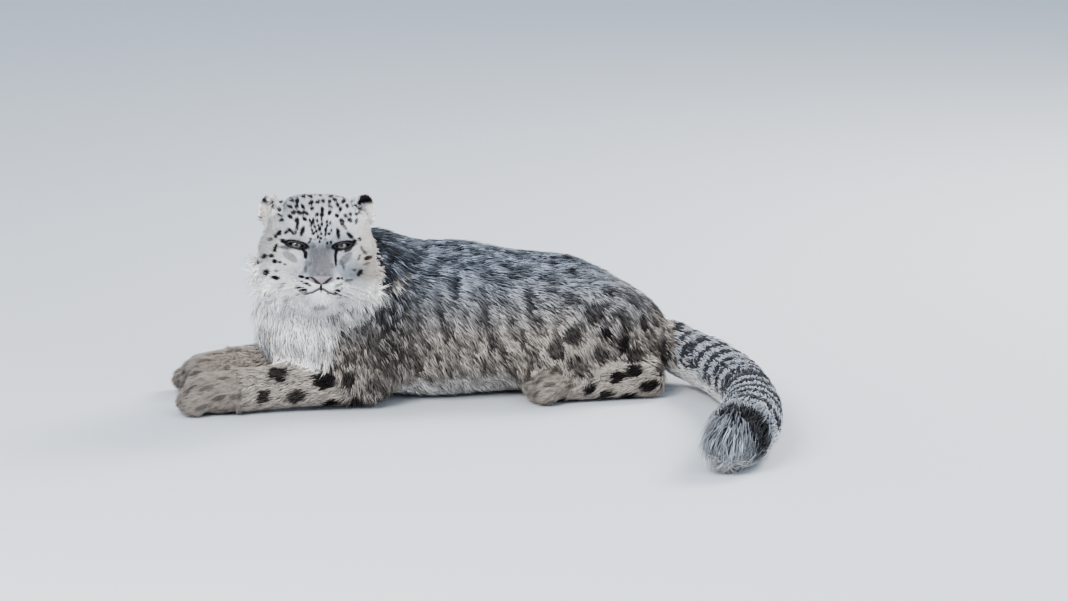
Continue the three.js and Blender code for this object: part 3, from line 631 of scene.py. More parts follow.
def body_marks(points):
    """How dark the spots are at each point."""
    dark = np.zeros(len(points))
    for first in range(0, len(points), POINTS_AT_ONCE):
        part = points[first:first + POINTS_AT_ONCE]
        gap = (part ** 2).sum(1)[:, None] + (spot_place ** 2).sum(1)[None] - 2 * part @ spot_place.T
        near = (gap / spot_size[None] ** 2).argmin(1)
        away = part - spot_place[near]
        along = (away * spot_along[near]).sum(1) / (spot_size[near] * spot_stretch[near])
        aside = (away * spot_aside[near]).sum(1) / (spot_size[near] / spot_stretch[near] ** 0.5)
        edge = 0.20 * ripple(part, 0.014, 5) + 0.16 * ripple(part, 0.006, 6)
        r = np.sqrt(along ** 2 + aside ** 2) + edge
        turn = np.arctan2(aside, along) * spot_lobes[near] + spot_turn[near]
        solid = 1 - ramp(r, 0.75, 1.05)
        ring = np.exp(-((r - 0.85) / 0.28) ** 2) * (0.62 + 0.45 * np.sin(turn))
        ring = ring + 0.35 * (1 - ramp(r, 0.5, 0.9))
        mix = spot_ring[near]
        shade = spot_strength[near] * ((1 - mix) * solid + mix * ring)
        dark[first:first + POINTS_AT_ONCE] = np.clip(shade, 0, 1)
    return dark


# Marks of the face: middle aside and above, length, width, tilt in degrees and strength.
FACE_MARKS = [
    (-60, 6, 9, 7, 0, 1), (-38, 30, 25, 3.6, 77, 0.9), (-29.5, 22, 17, 5.5, 74, 1),
    (-53, 22, 13, 3.6, 43, 0.9), (-46.5, 21.5, 11, 3, -64, 0.9), (-65, 17, 5, 3.5, 40, 0.9),
    (-71, 13.5, 6, 4, 45, 0.9), (-79, 8, 9, 2.2, 45, 0.7), (-28, 52, 8, 4.5, 45, 1),
    (-26, 42, 9, 5, -30, 1), (-13.5, 36, 6, 4.5, 0, 1), (-71, -5, 14, 4.2, 68, 1),
    (-77.6, -18.6, 6, 5, 0, 0.9), (-87, -19.5, 8, 6, 60, 0.8), (-95, -29.6, 9, 6.5, 70, 0.8),
    (-72, -27.7, 7, 5, 0, 0.9), (-64, -29, 5, 2.6, -20, 0.8), (-56.5, -32.3, 4, 2.2, -30, 0.7),
    (-85, -46, 11, 6.5, 75, 0.9), (-70.3, -54.3, 13, 5.5, -10, 0.95), (-69.4, -43, 5, 3, 0, 0.5),
    (-58.4, -65.3, 7, 4, 20, 0.55), (-63, -73, 11, 6, -20, 0.35), (-31, -52.8, 6.5, 3.6, -10, 0.9),
    (-22.3, -55, 6.5, 3.6, 0, 0.9), (-25, -63.5, 19, 2.6, -23, 0.9), (-29, -74, 13, 7, -15, 1),
    (-36, -70, 8, 4, -25, 0.9), (-23.8, -16.3, 13, 4.6, 87, 0.95), (-24, -40, 12, 2.6, 80, 0.45),
    (-56.6, -5, 19, 5.5, -8, 0.6), (57, 6, 7, 9, 0, 1), (29, 19.5, 18, 5.5, -81, 1),
    (36.5, 33.3, 19, 3, -49, 0.9), (48.4, 17.2, 14, 4.2, -43, 1), (65.3, 10.8, 6, 3.5, -40, 0.9),
    (70, -6, 13, 3, -70, 0.7), (80, -19.5, 14, 5.5, 18, 0.9), (78, -29, 10, 3, 20, 0.5),
    (75.4, -11, 7, 4, -30, 0.6), (67, -44, 12, 7.5, 50, 0.85), (64.4, -19.5, 11, 2.4, 60, 0.6),
    (57, -39.6, 7, 3, 0, 0.5), (48.8, -57, 14, 3.4, 5, 0.5), (47, -81.8, 16, 3, 8, 0.35),
    (32.3, -86, 10, 3, 10, 0.3), (27.8, -54.7, 5.5, 3.2, 0, 0.9), (35, -54.3, 4.5, 3, 0, 0.8),
    (29.6, -65, 15, 2.6, 26, 0.9), (28, -75, 12, 6.5, 22, 1), (35, -71.5, 8, 4, 25, 0.9),
    (25, -22, 26, 4.4, -88, 0.95), (37.4, -30.5, 20, 3, -71, 0.55), (47, -7, 18, 4, 32, 0.7),
    (-26, -7, 9, 4, 70, 1), (26, -9, 9, 4, -75, 1), (0, -71, 13, 2.6, 90, 1),
    (-48, -20, 28, 11, -35, 0.4), (42, -22, 28, 11, 42, 0.45), (-14, -79, 5, 2.6, 0, 0.6),
    (13, -80, 5, 2.6, 0, 0.6), (-20, -31, 8, 7, 0, 0.25), (20, -34, 10, 7, 0, 0.3),
    (-100, 30, 10, 3, -10, 0.9), (-66, 20, 8, 3, 40, 0.8), (-50, -88, 9, 5, -30, 0.35),
    (38, -96, 13, 3.5, 12, 0.4), (12, -2, 6, 8, 0, 0.3), (-12, 0, 6, 8, 0, 0.3),
    (-1.6, 26, 7, 4, 85, 0.9), (8.5, 24.5, 7, 3.6, 80, 0.9), (-11.6, 19, 5.5, 3, 30, 0.8),
    (2, 33.7, 6, 3, 90, 0.9), (14, 18.5, 4, 3.4, 0, 0.8), (-9, 9, 4, 3, 0, 0.45), (8, 9, 4, 3, 0, 0.4),
    # This last mark, a soft grey band under the chin, is a painted shadow.
    (0, -102, 24, 5, 8, 0.4),
]
# Marks of the ears: the black tip and the dark line inside the front edge.
EAR_MARKS = [
    (-88, 76, 18, 11, 60, 1), (-80, 62, 20, 4.5, -68, 0.85), (-74, 49, 14, 4.5, -48, 0.8),
    (-66, 45, 12, 4.5, -8, 0.75), (74, 80, 15, 8, -50, 1), (73, 62, 24, 6, 80, 0.9),
    (64, 50, 16, 5, 45, 0.85), (50, 47, 16, 5, 5, 0.8),
]
MARK_MARGIN = 1.0

# The small spots of the crown and the forehead are scattered, each with room about it, in millimetres.
CROWN_TRIES = 2600
CROWN_ROOM = 8.2
FOREHEAD_TRIES = 160
FOREHEAD_ROOM = 5.2
FOREHEAD_STRENGTH = 0.85
crown_spots = []
for _ in range(CROWN_TRIES):
    aside, above = rng.uniform(-80, 80), rng.uniform(37, 190)
    if abs(aside) > 62 + 0.2 * (above - 37) or (abs(aside) < 34 and above < 47):
        continue
    if all(math.hypot(aside - a, above - b) > CROWN_ROOM for a, b, *_ in crown_spots):
        crown_spots.append((aside, above, rng.uniform(6, 9.5), rng.uniform(4, 5.5), rng.uniform(20, 160), 1))
for _ in range(FOREHEAD_TRIES):
    aside, above = rng.uniform(-18, 18), rng.uniform(3, 42)
    if all(math.hypot(aside - a, above - b) > FOREHEAD_ROOM for a, b, *_ in crown_spots + FACE_MARKS):
        crown_spots.append((aside, above, rng.uniform(3, 5), rng.uniform(2.2, 3.2), rng.uniform(60, 120),
                            FOREHEAD_STRENGTH))


def round_eye(spot, side):
    """How far a place lies from the middle of an eye opening, as a share of the way to the opening's edge."""
    out = (spot[:, 1] - eye_spot[side][1] - side * OPENING_SHIFT) * side
    up = spot[:, 2] - eye_spot[side][2] - OPENING_SLANT * out
    return np.hypot(out / OPENING_HALF_LENGTH, up / OPENING_HALF_HEIGHT)


def face_marks(points, marks):
    """How dark the marks of the face are at each point. The crown is unrolled backwards over the head."""
    spot = head_places(points) * 1000
    behind = np.clip(-spot[:, 0] - 30, 0, None)
    above = spot[:, 2] + behind * ramp(spot[:, 2], 20, 60) * 0.9
    aside = spot[:, 1]
    wobble = 0.8 * ripple(points, 0.009, 11)
    dark = np.zeros(len(points))
    front = spot[:, 0] > -75
    for a, b, long, wide, tilt, strength in marks:
        near = np.flatnonzero((abs(aside - a) < long) & (abs(above - b) < long))
        near = near[front[near] | (b > 36)]
        if not len(near):
            continue
        tilt = math.radians(tilt)
        u, v = aside[near] - a, above[near] - b
        along = (u * math.cos(tilt) + v * math.sin(tilt)) / (long / 2 + MARK_MARGIN)
        across = (v * math.cos(tilt) - u * math.sin(tilt)) / (wide / 2 + MARK_MARGIN)
        r = np.sqrt(along ** 2 + across ** 2) + wobble[near] / (wide + 2)
        dark[near] = np.maximum(dark[near], min(1, 1.25 * strength) * (1 - ramp(r, 0.75, 1.2)))
    for side in (1, -1):
        dark = np.maximum(dark, (1 - ramp(round_eye(spot / 1000, side), 1.3, 1.75)) * front)
    lips = np.flatnonzero((spot[:, 0] > 10) & (spot[:, 2] < -60) & (spot[:, 2] > -90))
    gap = np.sqrt(((points[lips, None, :] - groove[None]) ** 2).sum(2).min(1))
    dark[lips] = np.maximum(dark[lips], 0.85 * (1 - ramp(gap, 0.0016, 0.0034)))
    return dark


TAIL_BARS = 20


def tail_marks(points):
    """Broken dark bars over the top and sides of the tail, and a black patch short of its pale end."""
    nearest = nearest_on_tail(points)
    t = tail_share[nearest]
    out = units(points - tail_line[nearest])
    bars = np.sin(2 * math.pi * (t * TAIL_BARS + 0.5 * ripple(points, 0.10, 21) + 0.3 * out[:, 2]))
    dark = ramp(bars + 0.4 * ripple(points, 0.03, 22), -0.45, 0.15) * ramp(out[:, 2], -0.5, 0.05)
    dark *= 0.9 * (1 - ramp(t, 0.84, 0.88))
    outer = out @ np.array((0.8, 0.2, 0.5))
    patch = ramp(t, 0.85, 0.89) * (1 - ramp(t, 0.92, 0.97))
    patch *= 0.95 * ramp(outer + 0.5 * ripple(points, 0.02, 23), -0.2, 0.5)
    return np.maximum(dark, patch)


def colouring(points, way_out, owners):
    """The marks and the ground colours of the coat at each point, with painted shade on the shoulder and on
    the left of the throat and cheek.
    """
    names = np.array(FLESH)[owners]
    head_part = np.char.startswith(names, "head")
    ear_part = np.char.startswith(names, "ear")
    tail_part = np.char.startswith(names, "tail")
    leg_part = np.char.startswith(names, "foreleg") | np.char.startswith(names, "hindleg")
    torso_part = ~(head_part | ear_part | tail_part)
    on_torso = torso_part & ~leg_part
    body = points - np.array(origin)
    face = head_places(points)
    aside = np.abs(face[:, 1])
    dark = np.zeros(len(points))
    dark[torso_part] = body_marks(points[torso_part])
    nape = ramp(-face[head_part, 0], 0.095, 0.115)
    nape_spots = ramp(ripple(points[head_part], 0.016, 51), 0.25, 0.55)
    dark[head_part] = (1 - nape) * face_marks(points[head_part], FACE_MARKS + crown_spots)
    dark[head_part] += nape * nape_spots
    dark[ear_part] = face_marks(points[ear_part], EAR_MARKS)
    dark[tail_part] = tail_marks(points[tail_part])

    height = body[:, 2]
    back = ramp(height, 0.15, 0.24) * on_torso
    smoke = ramp(ripple(body * (1, 1, 0.45), 0.024, 31) + 0.5 * ripple(body, 0.011, 32), -0.5, 0.9)
    streak = ripple(body * (1, 0.6, 0.28), 0.019, 33) + 0.5 * ripple(body * (1, 0.8, 0.5), 0.009, 34)
    dark = np.where(on_torso, np.clip(dark * (1 - 0.35 * back) + back * 0.85 * smoke, 0, 1), dark)
    haunch = (names == "torso_rump") | np.char.endswith(names, "upper")
    dark = np.where(on_torso, np.maximum(dark, (0.80 - 0.25 * haunch) * ramp(-streak, -0.05, 0.65)), dark)
    blotch = ripple(body * (1, 0.8, 1.2), 0.020, 35) + 0.4 * ripple(body, 0.009, 36)
    dark = np.where(haunch, np.maximum(dark, (0.8 - 0.35 * back) * ramp(blotch, 0.15, 0.50)), dark)
    # Blotchy dark over the shoulder behind the ruff: partly its own big dark spots, partly painted shade.
    shoulder_spots_and_shade = np.exp(-((body[:, 0] + 0.15) / 0.07) ** 2) * ramp(height, 0.03, 0.08) * torso_part
    dark = np.maximum(dark, 0.95 * shoulder_spots_and_shade * ramp(blotch, -0.75, 0.10))
    speckle = 0.4 * ramp(ripple(body * (0.6, 1, 1), 0.008, 37), -0.2, 0.9)
    dark = np.where(leg_part, np.maximum(dark, speckle), dark)
    streak = np.where(on_torso, streak, np.where(torso_part, 0.2, np.where(tail_part, 0.1, 0.6)))

    # Warm ground: tan low on the flanks and on the legs, grey over the back.
    warm = 0.9 - 0.8 * ramp(height, 0.09, 0.24)
    warm = np.where(names == "neck", 0.1 + 0.6 * ramp(-way_out[:, 2], -0.3, 0.3), warm)
    warm = np.where(tail_part, 0.25 + 0.2 * (1 - ramp(way_out[:, 2], -0.5, 0.4)), warm)
    warm = np.where(head_part | ear_part, 0.15 + 0.75 * ramp(aside, 0.045, 0.085), warm)

    # Pale ground: breast, throat, belly, muzzle, cheeks and the underside of the tail.
    breast_front = ramp(-body[:, 0], 0.235, 0.275) * (1 - leg_part)
    throat = ramp(-way_out[:, 1] - 0.9 * way_out[:, 0] - 0.5 * way_out[:, 2], 0.0, 0.7)
    pale = np.where(torso_part, np.clip(2.0 * breast_front * throat, 0, 1), 0)
    # On the head's left, by the cheek, the neck is kept less pale: partly the coat's own cream-tan, partly
    # painted shade on that side.
    near_cheek = 0.6 * (1 - ramp(-face[:, 0], 0.02, 0.05))
    by_cheek = np.where(face[:, 1] < 0, ramp(-face[:, 1], 0.03, 0.06), near_cheek)
    pale = np.where(names == "neck", np.clip(throat * 1.2 + by_cheek, 0, 1), pale)
    far_breast = ramp(-face[:, 1], 0.05, 0.08) * (1 - ramp(-face[:, 0], 0.10, 0.14))
    far_breast = far_breast * ramp(height, 0.12, 0.16)
    pale = np.where(torso_part, np.maximum(pale, far_breast), pale)
    # Left of the head's middle line the pale breast and throat turn tan and less pale: partly the coat's own
    # cream-tan, partly painted shade on that side.
    tan_and_shade_side = ramp(face[:, 1], -0.005, 0.035) * torso_part
    pale = pale * (1 - 0.4 * tan_and_shade_side)
    warm = np.maximum(warm, 0.9 * tan_and_shade_side * (pale > 0.2))
    belly = ramp(-way_out[:, 2], 0.35, 0.8) * on_torso
    pale = np.maximum(pale, 0.6 * belly)
    muzzle = ramp(-face[:, 2], 0.045, 0.07)
    # The head's left cheek is less pale than the right: partly its own tan, partly painted shade on that
    # side.
    cheek = ramp(-face[:, 1], 0.03, 0.06) - 0.6 * ramp(face[:, 1], 0.03, 0.06)
    cheek = ramp(-face[:, 2], 0.0, 0.05) * cheek
    forehead = ramp(face[:, 2], 0.01, 0.05)
    around_eyes = np.exp(-((aside - 0.040) / 0.022) ** 2 - ((face[:, 2] + 0.002) / 0.024) ** 2)
    crown = ramp(face[:, 2], 0.045, 0.065)
    head_pale = 0.42 + 0.7 * muzzle + 0.45 * cheek + 0.2 * forehead - 0.15 * crown + 0.3 * around_eyes
    pale = np.where(head_part, np.clip(head_pale, 0, 1), pale)
    pale = np.where(ear_part, 0.85, pale)
    pale = np.where(tail_part, 0.12 + 0.5 * (1 - ramp(way_out[:, 2], -0.5, 0.3)), pale)
    tail_end = ramp(tail_share[nearest_on_tail(points)], 0.88, 0.95)
    tail_end = 0.55 * tail_end * ramp(ripple(points, 0.012, 24), -0.3, 0.5)
    dark = np.where(tail_part, np.maximum(dark, tail_end), dark)
    dark = dark * (1 - 0.9 * pale * torso_part)

    # Taupe bridge of the nose, dark backs and tips of the ears, and brown marks on one cheek.
    taupe = np.exp(-(face[:, 1] / 0.020) ** 4) * ramp(-face[:, 2], -0.012, 0.012)
    taupe *= 1 - ramp(-face[:, 2], 0.056, 0.064)
    taupe = np.where(head_part & (face[:, 0] > 0), taupe, 0)
    pale *= 1 - 0.9 * taupe
    rear = ramp(-way_out @ front_way, 0.2, 0.6)
    tip = np.where(face[:, 1] < 0, ramp(face[:, 2], 0.066, 0.074) * ramp(-face[:, 1], 0.078, 0.084),
                   ramp(face[:, 2], 0.068, 0.076) * ramp(face[:, 1], 0.064, 0.072))
    dark = np.where(ear_part, np.maximum(dark, np.maximum(0.9 * rear, tip)), dark)
    brown = np.where(head_part, ramp(face[:, 1], 0.05, 0.07) * ramp(-face[:, 2], -0.01, 0.01), 0.2 * warm)
    streak = 0.5 + 0.5 * streak
    return {"dark": dark, "warm": warm, "pale": pale, "taupe": taupe, "brown": brown, "streak": streak}


def store(piece, values):
    """Keeps one number for each vertex under each name, for the material to read."""
    for name, numbers in values.items():
        layer = piece.data.attributes.new(name, "FLOAT", "POINT")
        layer.data.foreach_set("value", np.asarray(numbers, np.float32))


store(skin, colouring(places, normals, owner))


def tint(red, green, blue):
    """A colour as it looks on a screen, from 0 to 255, as the renderer's own numbers."""
    parts = [((c / 255 + 0.055) / 1.055) ** 2.4 if c > 10 else c / 3295 for c in (red, green, blue)]
    return (*parts, 1)


def add(tree, kind, links=None, **settings):
    """Adds one shader node. Links give, for its inputs, a value or the output that feeds them."""
    node = tree.nodes.new(kind)
    for name, value in settings.items():
        setattr(node, name, value)
    for key, value in (links or {}).items():
        if isinstance(value, bpy.types.NodeSocket):
            tree.links.new(value, node.inputs[key])
        else:
            node.inputs[key].default_value = value
    return node


def blend(tree, share, first, second, kind="MIX"):
    """One colour mixed into another by a share."""
    links = {0: share, 6: first, 7: second}
    return add(tree, "ShaderNodeMix", links, data_type="RGBA", blend_type=kind).outputs[2]


def rescaled(tree, value, low, high):
    """A value from 0 to 1 carried over to the range from low to high."""
    return add(tree, "ShaderNodeMapRange", {"Value": value, "To Min": low, "To Max": high}).outputs[0]


def read(tree, name, output="Fac"):
    """What is kept on the mesh under a name."""
    return add(tree, "ShaderNodeAttribute", attribute_name=name).outputs[output]


def new_group(name, values, results):
    """An empty effect for several materials: gives its tree, its inputs and its output node."""
    tree = bpy.data.node_groups.new(name, "ShaderNodeTree")
    for value in values:
        tree.interface.new_socket(name=value, in_out="INPUT", socket_type="NodeSocketFloat")
    for result, kind in results.items():
        tree.interface.new_socket(name=result, in_out="OUTPUT", socket_type=f"NodeSocket{kind}")
    return tree, tree.nodes.new("NodeGroupInput").outputs, tree.nodes.new("NodeGroupOutput").inputs


# The colours of the coat from the numbers kept on the mesh, shared by the hide and the hair.
COLOUR_VALUES = ("Dark", "Warm", "Pale", "Taupe", "Brown", "Streak")
coat_colour, given, result = new_group("coat colour", COLOUR_VALUES, {"Color": "Color"})
ground = blend(coat_colour, given["Warm"], tint(163, 174, 190), tint(196, 184, 171))
ground = blend(coat_colour, given["Pale"], ground, tint(255, 253, 250))
ground = blend(coat_colour, given["Taupe"], ground, tint(132, 131, 135))
streaked = rescaled(coat_colour, given["Streak"], 0.72, 1.12)
ground = blend(coat_colour, 1.0, ground, streaked, "MULTIPLY")
mark = blend(coat_colour, given["Brown"], tint(26, 26, 30), tint(60, 42, 32))
coat_colour.links.new(blend(coat_colour, given["Dark"], ground, mark), result["Color"])

# The fine grain of skin, shared by the hide and the bare lid rims.
skin_grain, given, result = new_group("skin grain", ("Scale", "Distance", "Strength"),
                                      {"Grain": "Float", "Normal": "Vector"})
grain_place = add(skin_grain, "ShaderNodeTexCoord").outputs["Object"]
grain = add(skin_grain, "ShaderNodeTexNoise", {"Vector": grain_place, "Scale": given["Scale"], "Detail": 3.0})
relief = add(skin_grain, "ShaderNodeBump", {"Height": grain.outputs[0], "Distance": given["Distance"],
                                            "Strength": given["Strength"]})
skin_grain.links.new(grain.outputs[0], result["Grain"])
skin_grain.links.new(relief.outputs[0], result["Normal"])


def coat_material(name, strands):
    """Hair or hide. Strands are darkened at their roots with painted shade, less so on pale hair, brightened
    to their tips with painted light, and differ a little from each other.
    """
    finish, tree, surface = new_finish(name, {"Roughness": 0.72, "Specular IOR Level": 0.25})
    mixed = add(tree, "ShaderNodeGroup", node_tree=coat_colour)
    for socket in mixed.inputs:
        tree.links.new(read(tree, socket.name.lower()), socket)
    if strands:
        # Painted shade at the root of every strand, less of it on pale hair, and painted light towards the
        # tip.
        root_shade_level = rescaled(tree, read(tree, "pale"), 0.70, 1.0)
        along = rescaled(tree, read(tree, "along"), root_shade_level, 1.15)
        chance = rescaled(tree, read(tree, "chance"), 0.84, 1.16)
        shade = add(tree, "ShaderNodeMath", {0: along, 1: chance}, operation="MULTIPLY").outputs[0]
    else:
        grain = add(tree, "ShaderNodeGroup", node_tree=skin_grain)
        for socket, value in (("Scale", 700.0), ("Distance", 0.0006), ("Strength", 0.6)):
            grain.inputs[socket].default_value = value
        tree.links.new(grain.outputs["Normal"], surface.inputs["Normal"])
        shade = rescaled(tree, grain.outputs["Grain"], 0.6, 1.0)
    colour = blend(tree, 1.0, mixed.outputs["Color"], shade, "MULTIPLY")
    tree.links.new(colour, surface.inputs["Base Color"])
    return finish


skin.data.materials.clear()
skin.data.materials.append(coat_material("hide", strands=False))
fur = coat_material("fur", strands=True)

# An unwrap of the hide's own shape. Every tuft of hair takes its own small patch of it, at its root, so
# that the hide and all the coat can share one picture of their colours.
SEAM_ANGLE = math.radians(66)
ISLAND_MARGIN = 0.002
on_whole_mesh(skin, bpy.ops.uv.smart_project, angle_limit=SEAM_ANGLE, island_margin=ISLAND_MARGIN)
skin.data.uv_layers[0].name = "OFBake"
skin_uv = np.empty(len(skin.data.loops) * 2, np.float32)
skin.data.uv_layers["OFBake"].data.foreach_get("uv", skin_uv)
skin_uv = skin_uv.reshape(-1, 3, 2)
corners = np.empty(len(skin.data.loops), np.int32)
skin.data.loops.foreach_get("vertex_index", corners)
corners = corners.reshape(-1, 3)
area = 0.5 * np.linalg.norm(np.cross(places[corners[:, 1]] - places[corners[:, 0]],
                                     places[corners[:, 2]] - places[corners[:, 0]]), axis=1)
# Tufts. Each is a slim closed spike of hair with a raised ridge, rooted in the hide, that rises from it,
# bends down along the lie of the coat and leans towards its neighbours, so that they form locks.
PATCH = 0.003
SLIMNESS = 0.080
SLIMMEST = 0.0008
WIDEST = 0.0023
SCATTER = 0.16
SWAY = 0.25
SWAY_LENGTH = 0.05
CLUMPING = 0.35
LOCKS_PER_ROOT = 1 / 14
FLOOR_GAP = 0.0004
LONG_TUFT = np.array([(2, 5, 3), (2, 3, 0), (2, 1, 4), (2, 4, 5), (0, 3, 4), (0, 4, 1),
                      (5, 6, 3), (5, 4, 6), (3, 6, 4), (0, 1, 2)])
LONG_PATCH = np.array([(0, 0), (1, 0), (0.5, 0), (0, 0.5), (1, 0.5), (0.5, 0.5), (0.5, 1)])
SHORT_TUFT = np.array([(2, 3, 0), (2, 1, 3), (0, 3, 1), (0, 1, 2)])
SHORT_PATCH = np.array([(0, 0), (1, 0), (0.5, 0.2), (0.5, 1)])


def bare(points):
    """Where no hair grows: inside the eye openings, along the lips and under the nose pad."""
    spot = head_places(points)
    none = np.zeros(len(points), bool)
    for side in (1, -1):
        none |= (round_eye(spot, side) < 1.25) & (spot[:, 0] > -0.01)
    near_mouth = np.flatnonzero((spot[:, 0] > 0.01) & (spot[:, 2] < -0.05) & (spot[:, 2] > -0.095))
    gap = ((points[near_mouth, None, :] - np.vstack([groove, parting])[None]) ** 2).sum(2).min(1)
    none[near_mouth[gap < 0.0022 ** 2]] = True
    under_pad = (spot[:, 0] > 0.055) & (np.abs(spot[:, 1]) < 0.016)
    none |= under_pad & (spot[:, 2] > -0.063) & (spot[:, 2] < -0.050)
    return none


def roots(faces, cover):
    """Scatters roots over faces, so that the tufts there cover the hide a given number of times."""
    face_length = length[corners[faces]].mean(1)
    width = np.clip(SLIMNESS * face_length, SLIMMEST, WIDEST)
    wanted = cover * area[faces] / (0.5 * width * face_length)
    steps = np.cumsum(wanted)
    picked = np.searchsorted(steps, rng.random(int(steps[-1])) * steps[-1])
    picked = faces[np.minimum(picked, len(faces) - 1)]
    shares = rng.dirichlet((1, 1, 1), len(picked))

    def spread(values):
        at_corners = values[corners[picked]]
        if at_corners.ndim == 2:
            return (at_corners * shares).sum(1)
        return (at_corners * shares[:, :, None]).sum(1)

    root = {
        "place": spread(places), "out": units(spread(normals)), "lie": spread(lie),
        "length": spread(length), "lift": np.radians(spread(lift)), "crease": spread(crease),
        "uv": (skin_uv[picked] * shares[:, :, None]).sum(1), "owner": owner[corners[picked, 0]],
    }
    kept = ~bare(root["place"])
    return {key: values[kept] for key, values in root.items()}


def locks(place):
    """The way from each root to the middle of the lock that it belongs to, and the number of that lock."""
    keep = rng.permutation(len(place))[: max(8, int(len(place) * LOCKS_PER_ROOT))]
    tree = KDTree(len(keep))
    for i, k in enumerate(keep):
        tree.insert(Vector(place[k]), i)
    tree.balance()
    lock = np.array([tree.find(Vector(p))[1] for p in place])
    return place[keep[lock]] - place, lock


def tufts(name, chosen, cover, short=False, shift=0.45):
    """Makes one piece of coat on the chosen faces of the hide. Each tuft takes its colour from a place that
    lies beyond its root, by the shift as a share of its length."""
    root = roots(np.flatnonzero(chosen), cover)
    count = len(root["place"])
    out = root["out"]
    flow = root["lie"] + SCATTER * rng.normal(size=(count, 3))
    wave = ripple(root["place"], SWAY_LENGTH, 41)
    flow += SWAY * wave[:, None] * np.cross(flow, out)
    flow = units(flow - (flow * out).sum(1)[:, None] * out)
    side = np.cross(flow, out)
    size = root["length"] * rng.uniform(0.75, 1.25, count)
    wide = np.clip(SLIMNESS * size, SLIMMEST, WIDEST) * rng.uniform(0.8, 1.2, count)
    rise = root["lift"] * rng.uniform(0.6, 1.25, count)
    towards, lock = locks(root["place"])
    towards = towards * CLUMPING
    reach = np.linalg.norm(towards, axis=1)
    towards *= np.minimum(1, 0.3 * size / np.maximum(reach, 1e-6))[:, None]
    start = root["place"] - out * (0.35 * wide)[:, None]
    w = wide[:, None]

    def onward(share, angle):
        return size[:, None] * share * (flow * np.cos(angle)[:, None] + out * np.sin(angle)[:, None])

    if short:
        tip = start + onward(1.0, rise)
        points = np.stack([start - side * w * 0.5, start + side * w * 0.5, start + out * w * 0.45, tip], 1)
        pattern, patch, along = SHORT_TUFT, SHORT_PATCH, [0, 0, 0, 1.0]
    else:
        half = start + onward(0.45, rise + 0.25)
        half += 0.35 * towards
        tip = half + onward(0.55, rise - 0.3)
        tip += 0.65 * towards
        points = np.stack([
            start - side * w * 0.45, start + side * w * 0.45, start + out * w * 0.35,
            half - side * w * 0.5, half + side * w * 0.5, half + out * w * 0.32, tip,
        ], 1)
        pattern, patch, along = LONG_TUFT, LONG_PATCH, [0, 0, 0, 0.5, 0.5, 0.5, 1.0]
    each = points.shape[1]
    points[:, :, 2] = np.maximum(points[:, :, 2], FLOOR_GAP)
    faces = (pattern[None] + (np.arange(count) * each)[:, None, None]).reshape(-1, 3)
    piece = mesh_piece(name, points.reshape(-1, 3), faces)
    coloured = colouring(root["place"] + shift * size[:, None] * flow, out, root["owner"])
    values = {key: np.repeat(row, each) for key, row in coloured.items()}
    # Hair in the creases between the toes is darkened with painted shade.
    values["dark"] = np.maximum(values["dark"], np.repeat(root["crease"], each))
    lock_tone = rng.random(lock.max() + 1)[lock]
    # Where each point lies along its tuft, from root to tip, for the painted shade at the root and the
    # painted light at the tip.
    values["along"] = np.tile(along, count)
    values["chance"] = np.repeat(0.5 * lock_tone + 0.5 * rng.random(count), each)
    store(piece, values)
    uv = (root["uv"][:, None, :] + PATCH * (patch[None] - 0.5)).reshape(-1, 2)
    layer = piece.data.uv_layers.new(name="OFBake")
    layer.data.foreach_set("uv", uv[faces.ravel()].astype(np.float32).ravel())
    piece.data.materials.append(fur)
    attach(piece, "root")


face_region = region[corners[:, 0]]
face_middle = places[corners].mean(1)
face_side = np.where(face_middle[:, 1] < origin.y, "left", "right")
on_muzzle = (face_region == "head") & (head_places(face_middle)[:, 0] > -0.035)
tufts("coat_face", on_muzzle, 2.2, short=True)
tufts("coat_head", (face_region == "head") & ~on_muzzle, 3.5)
tufts("coat_ears", np.char.startswith(face_region, "ear"), 3.5, short=True)
tufts("coat_neck", face_region == "neck", 6)
tufts("coat_tail", np.char.startswith(face_region, "tail"), 4, shift=0.0)
for side in ("left", "right"):
    for part, words in [
        ("chest", ("torso_chest", f"foreleg_{side}_upper")),
        ("flank", ("torso_belly",)),
        ("rump", ("torso_rump", f"hindleg_{side}_upper")),
        ("foreleg", (f"foreleg_{side}_lower",)),
        ("hindleg", (f"hindleg_{side}_lower",)),
        ("forepaw", (f"foreleg_{side}_paw",)),
        ("hindpaw", (f"hindleg_{side}_paw",)),
    ]:
        on_paw = "paw" in part
        chosen = (face_side == side) & np.isin(face_region, words)
        tufts(f"coat_{part}_{side}", chosen, 2.8 if on_paw else 3.8, short=on_paw)

# Eyes. A glass eye as a taxidermist sets it: a ball with a clear bulging front, a small round pupil, a grey
# iris with a dark edge, and dark flesh beyond. Both look at the viewer.
# The colours of the eye, with the angle from the middle of the pupil, in degrees, at which each lies.
EYE_BULGE = 0.06
BLACK = tint(8, 8, 9)
FLESH_TINT = tint(30, 24, 21)
EYE_BANDS = [
    (10, BLACK), (12, tint(78, 77, 68)), (19, tint(112, 116, 110)), (29, tint(88, 95, 96)),
    (34, tint(36, 40, 36)), (38, tint(18, 15, 14)),
]
eye_finish, tree, surface = new_finish(
    "glass eye", {"Roughness": 0.25, "Coat Weight": 1.0, "Coat Roughness": 0.03})
rays = add(tree, "ShaderNodeTexNoise", {"Vector": read(tree, "round_gaze", "Vector"), "Scale": 3.0,
                                        "Detail": 4.0, "Roughness": 0.7})
bands = add(tree, "ShaderNodeValToRGB", {"Fac": read(tree, "from_gaze")})
stops = bands.color_ramp.elements
stops[0].position, stops[0].color = 0, BLACK
stops[1].position, stops[1].color = 1, FLESH_TINT
for angle, colour in EYE_BANDS:
    stops.new(angle / 90).color = colour
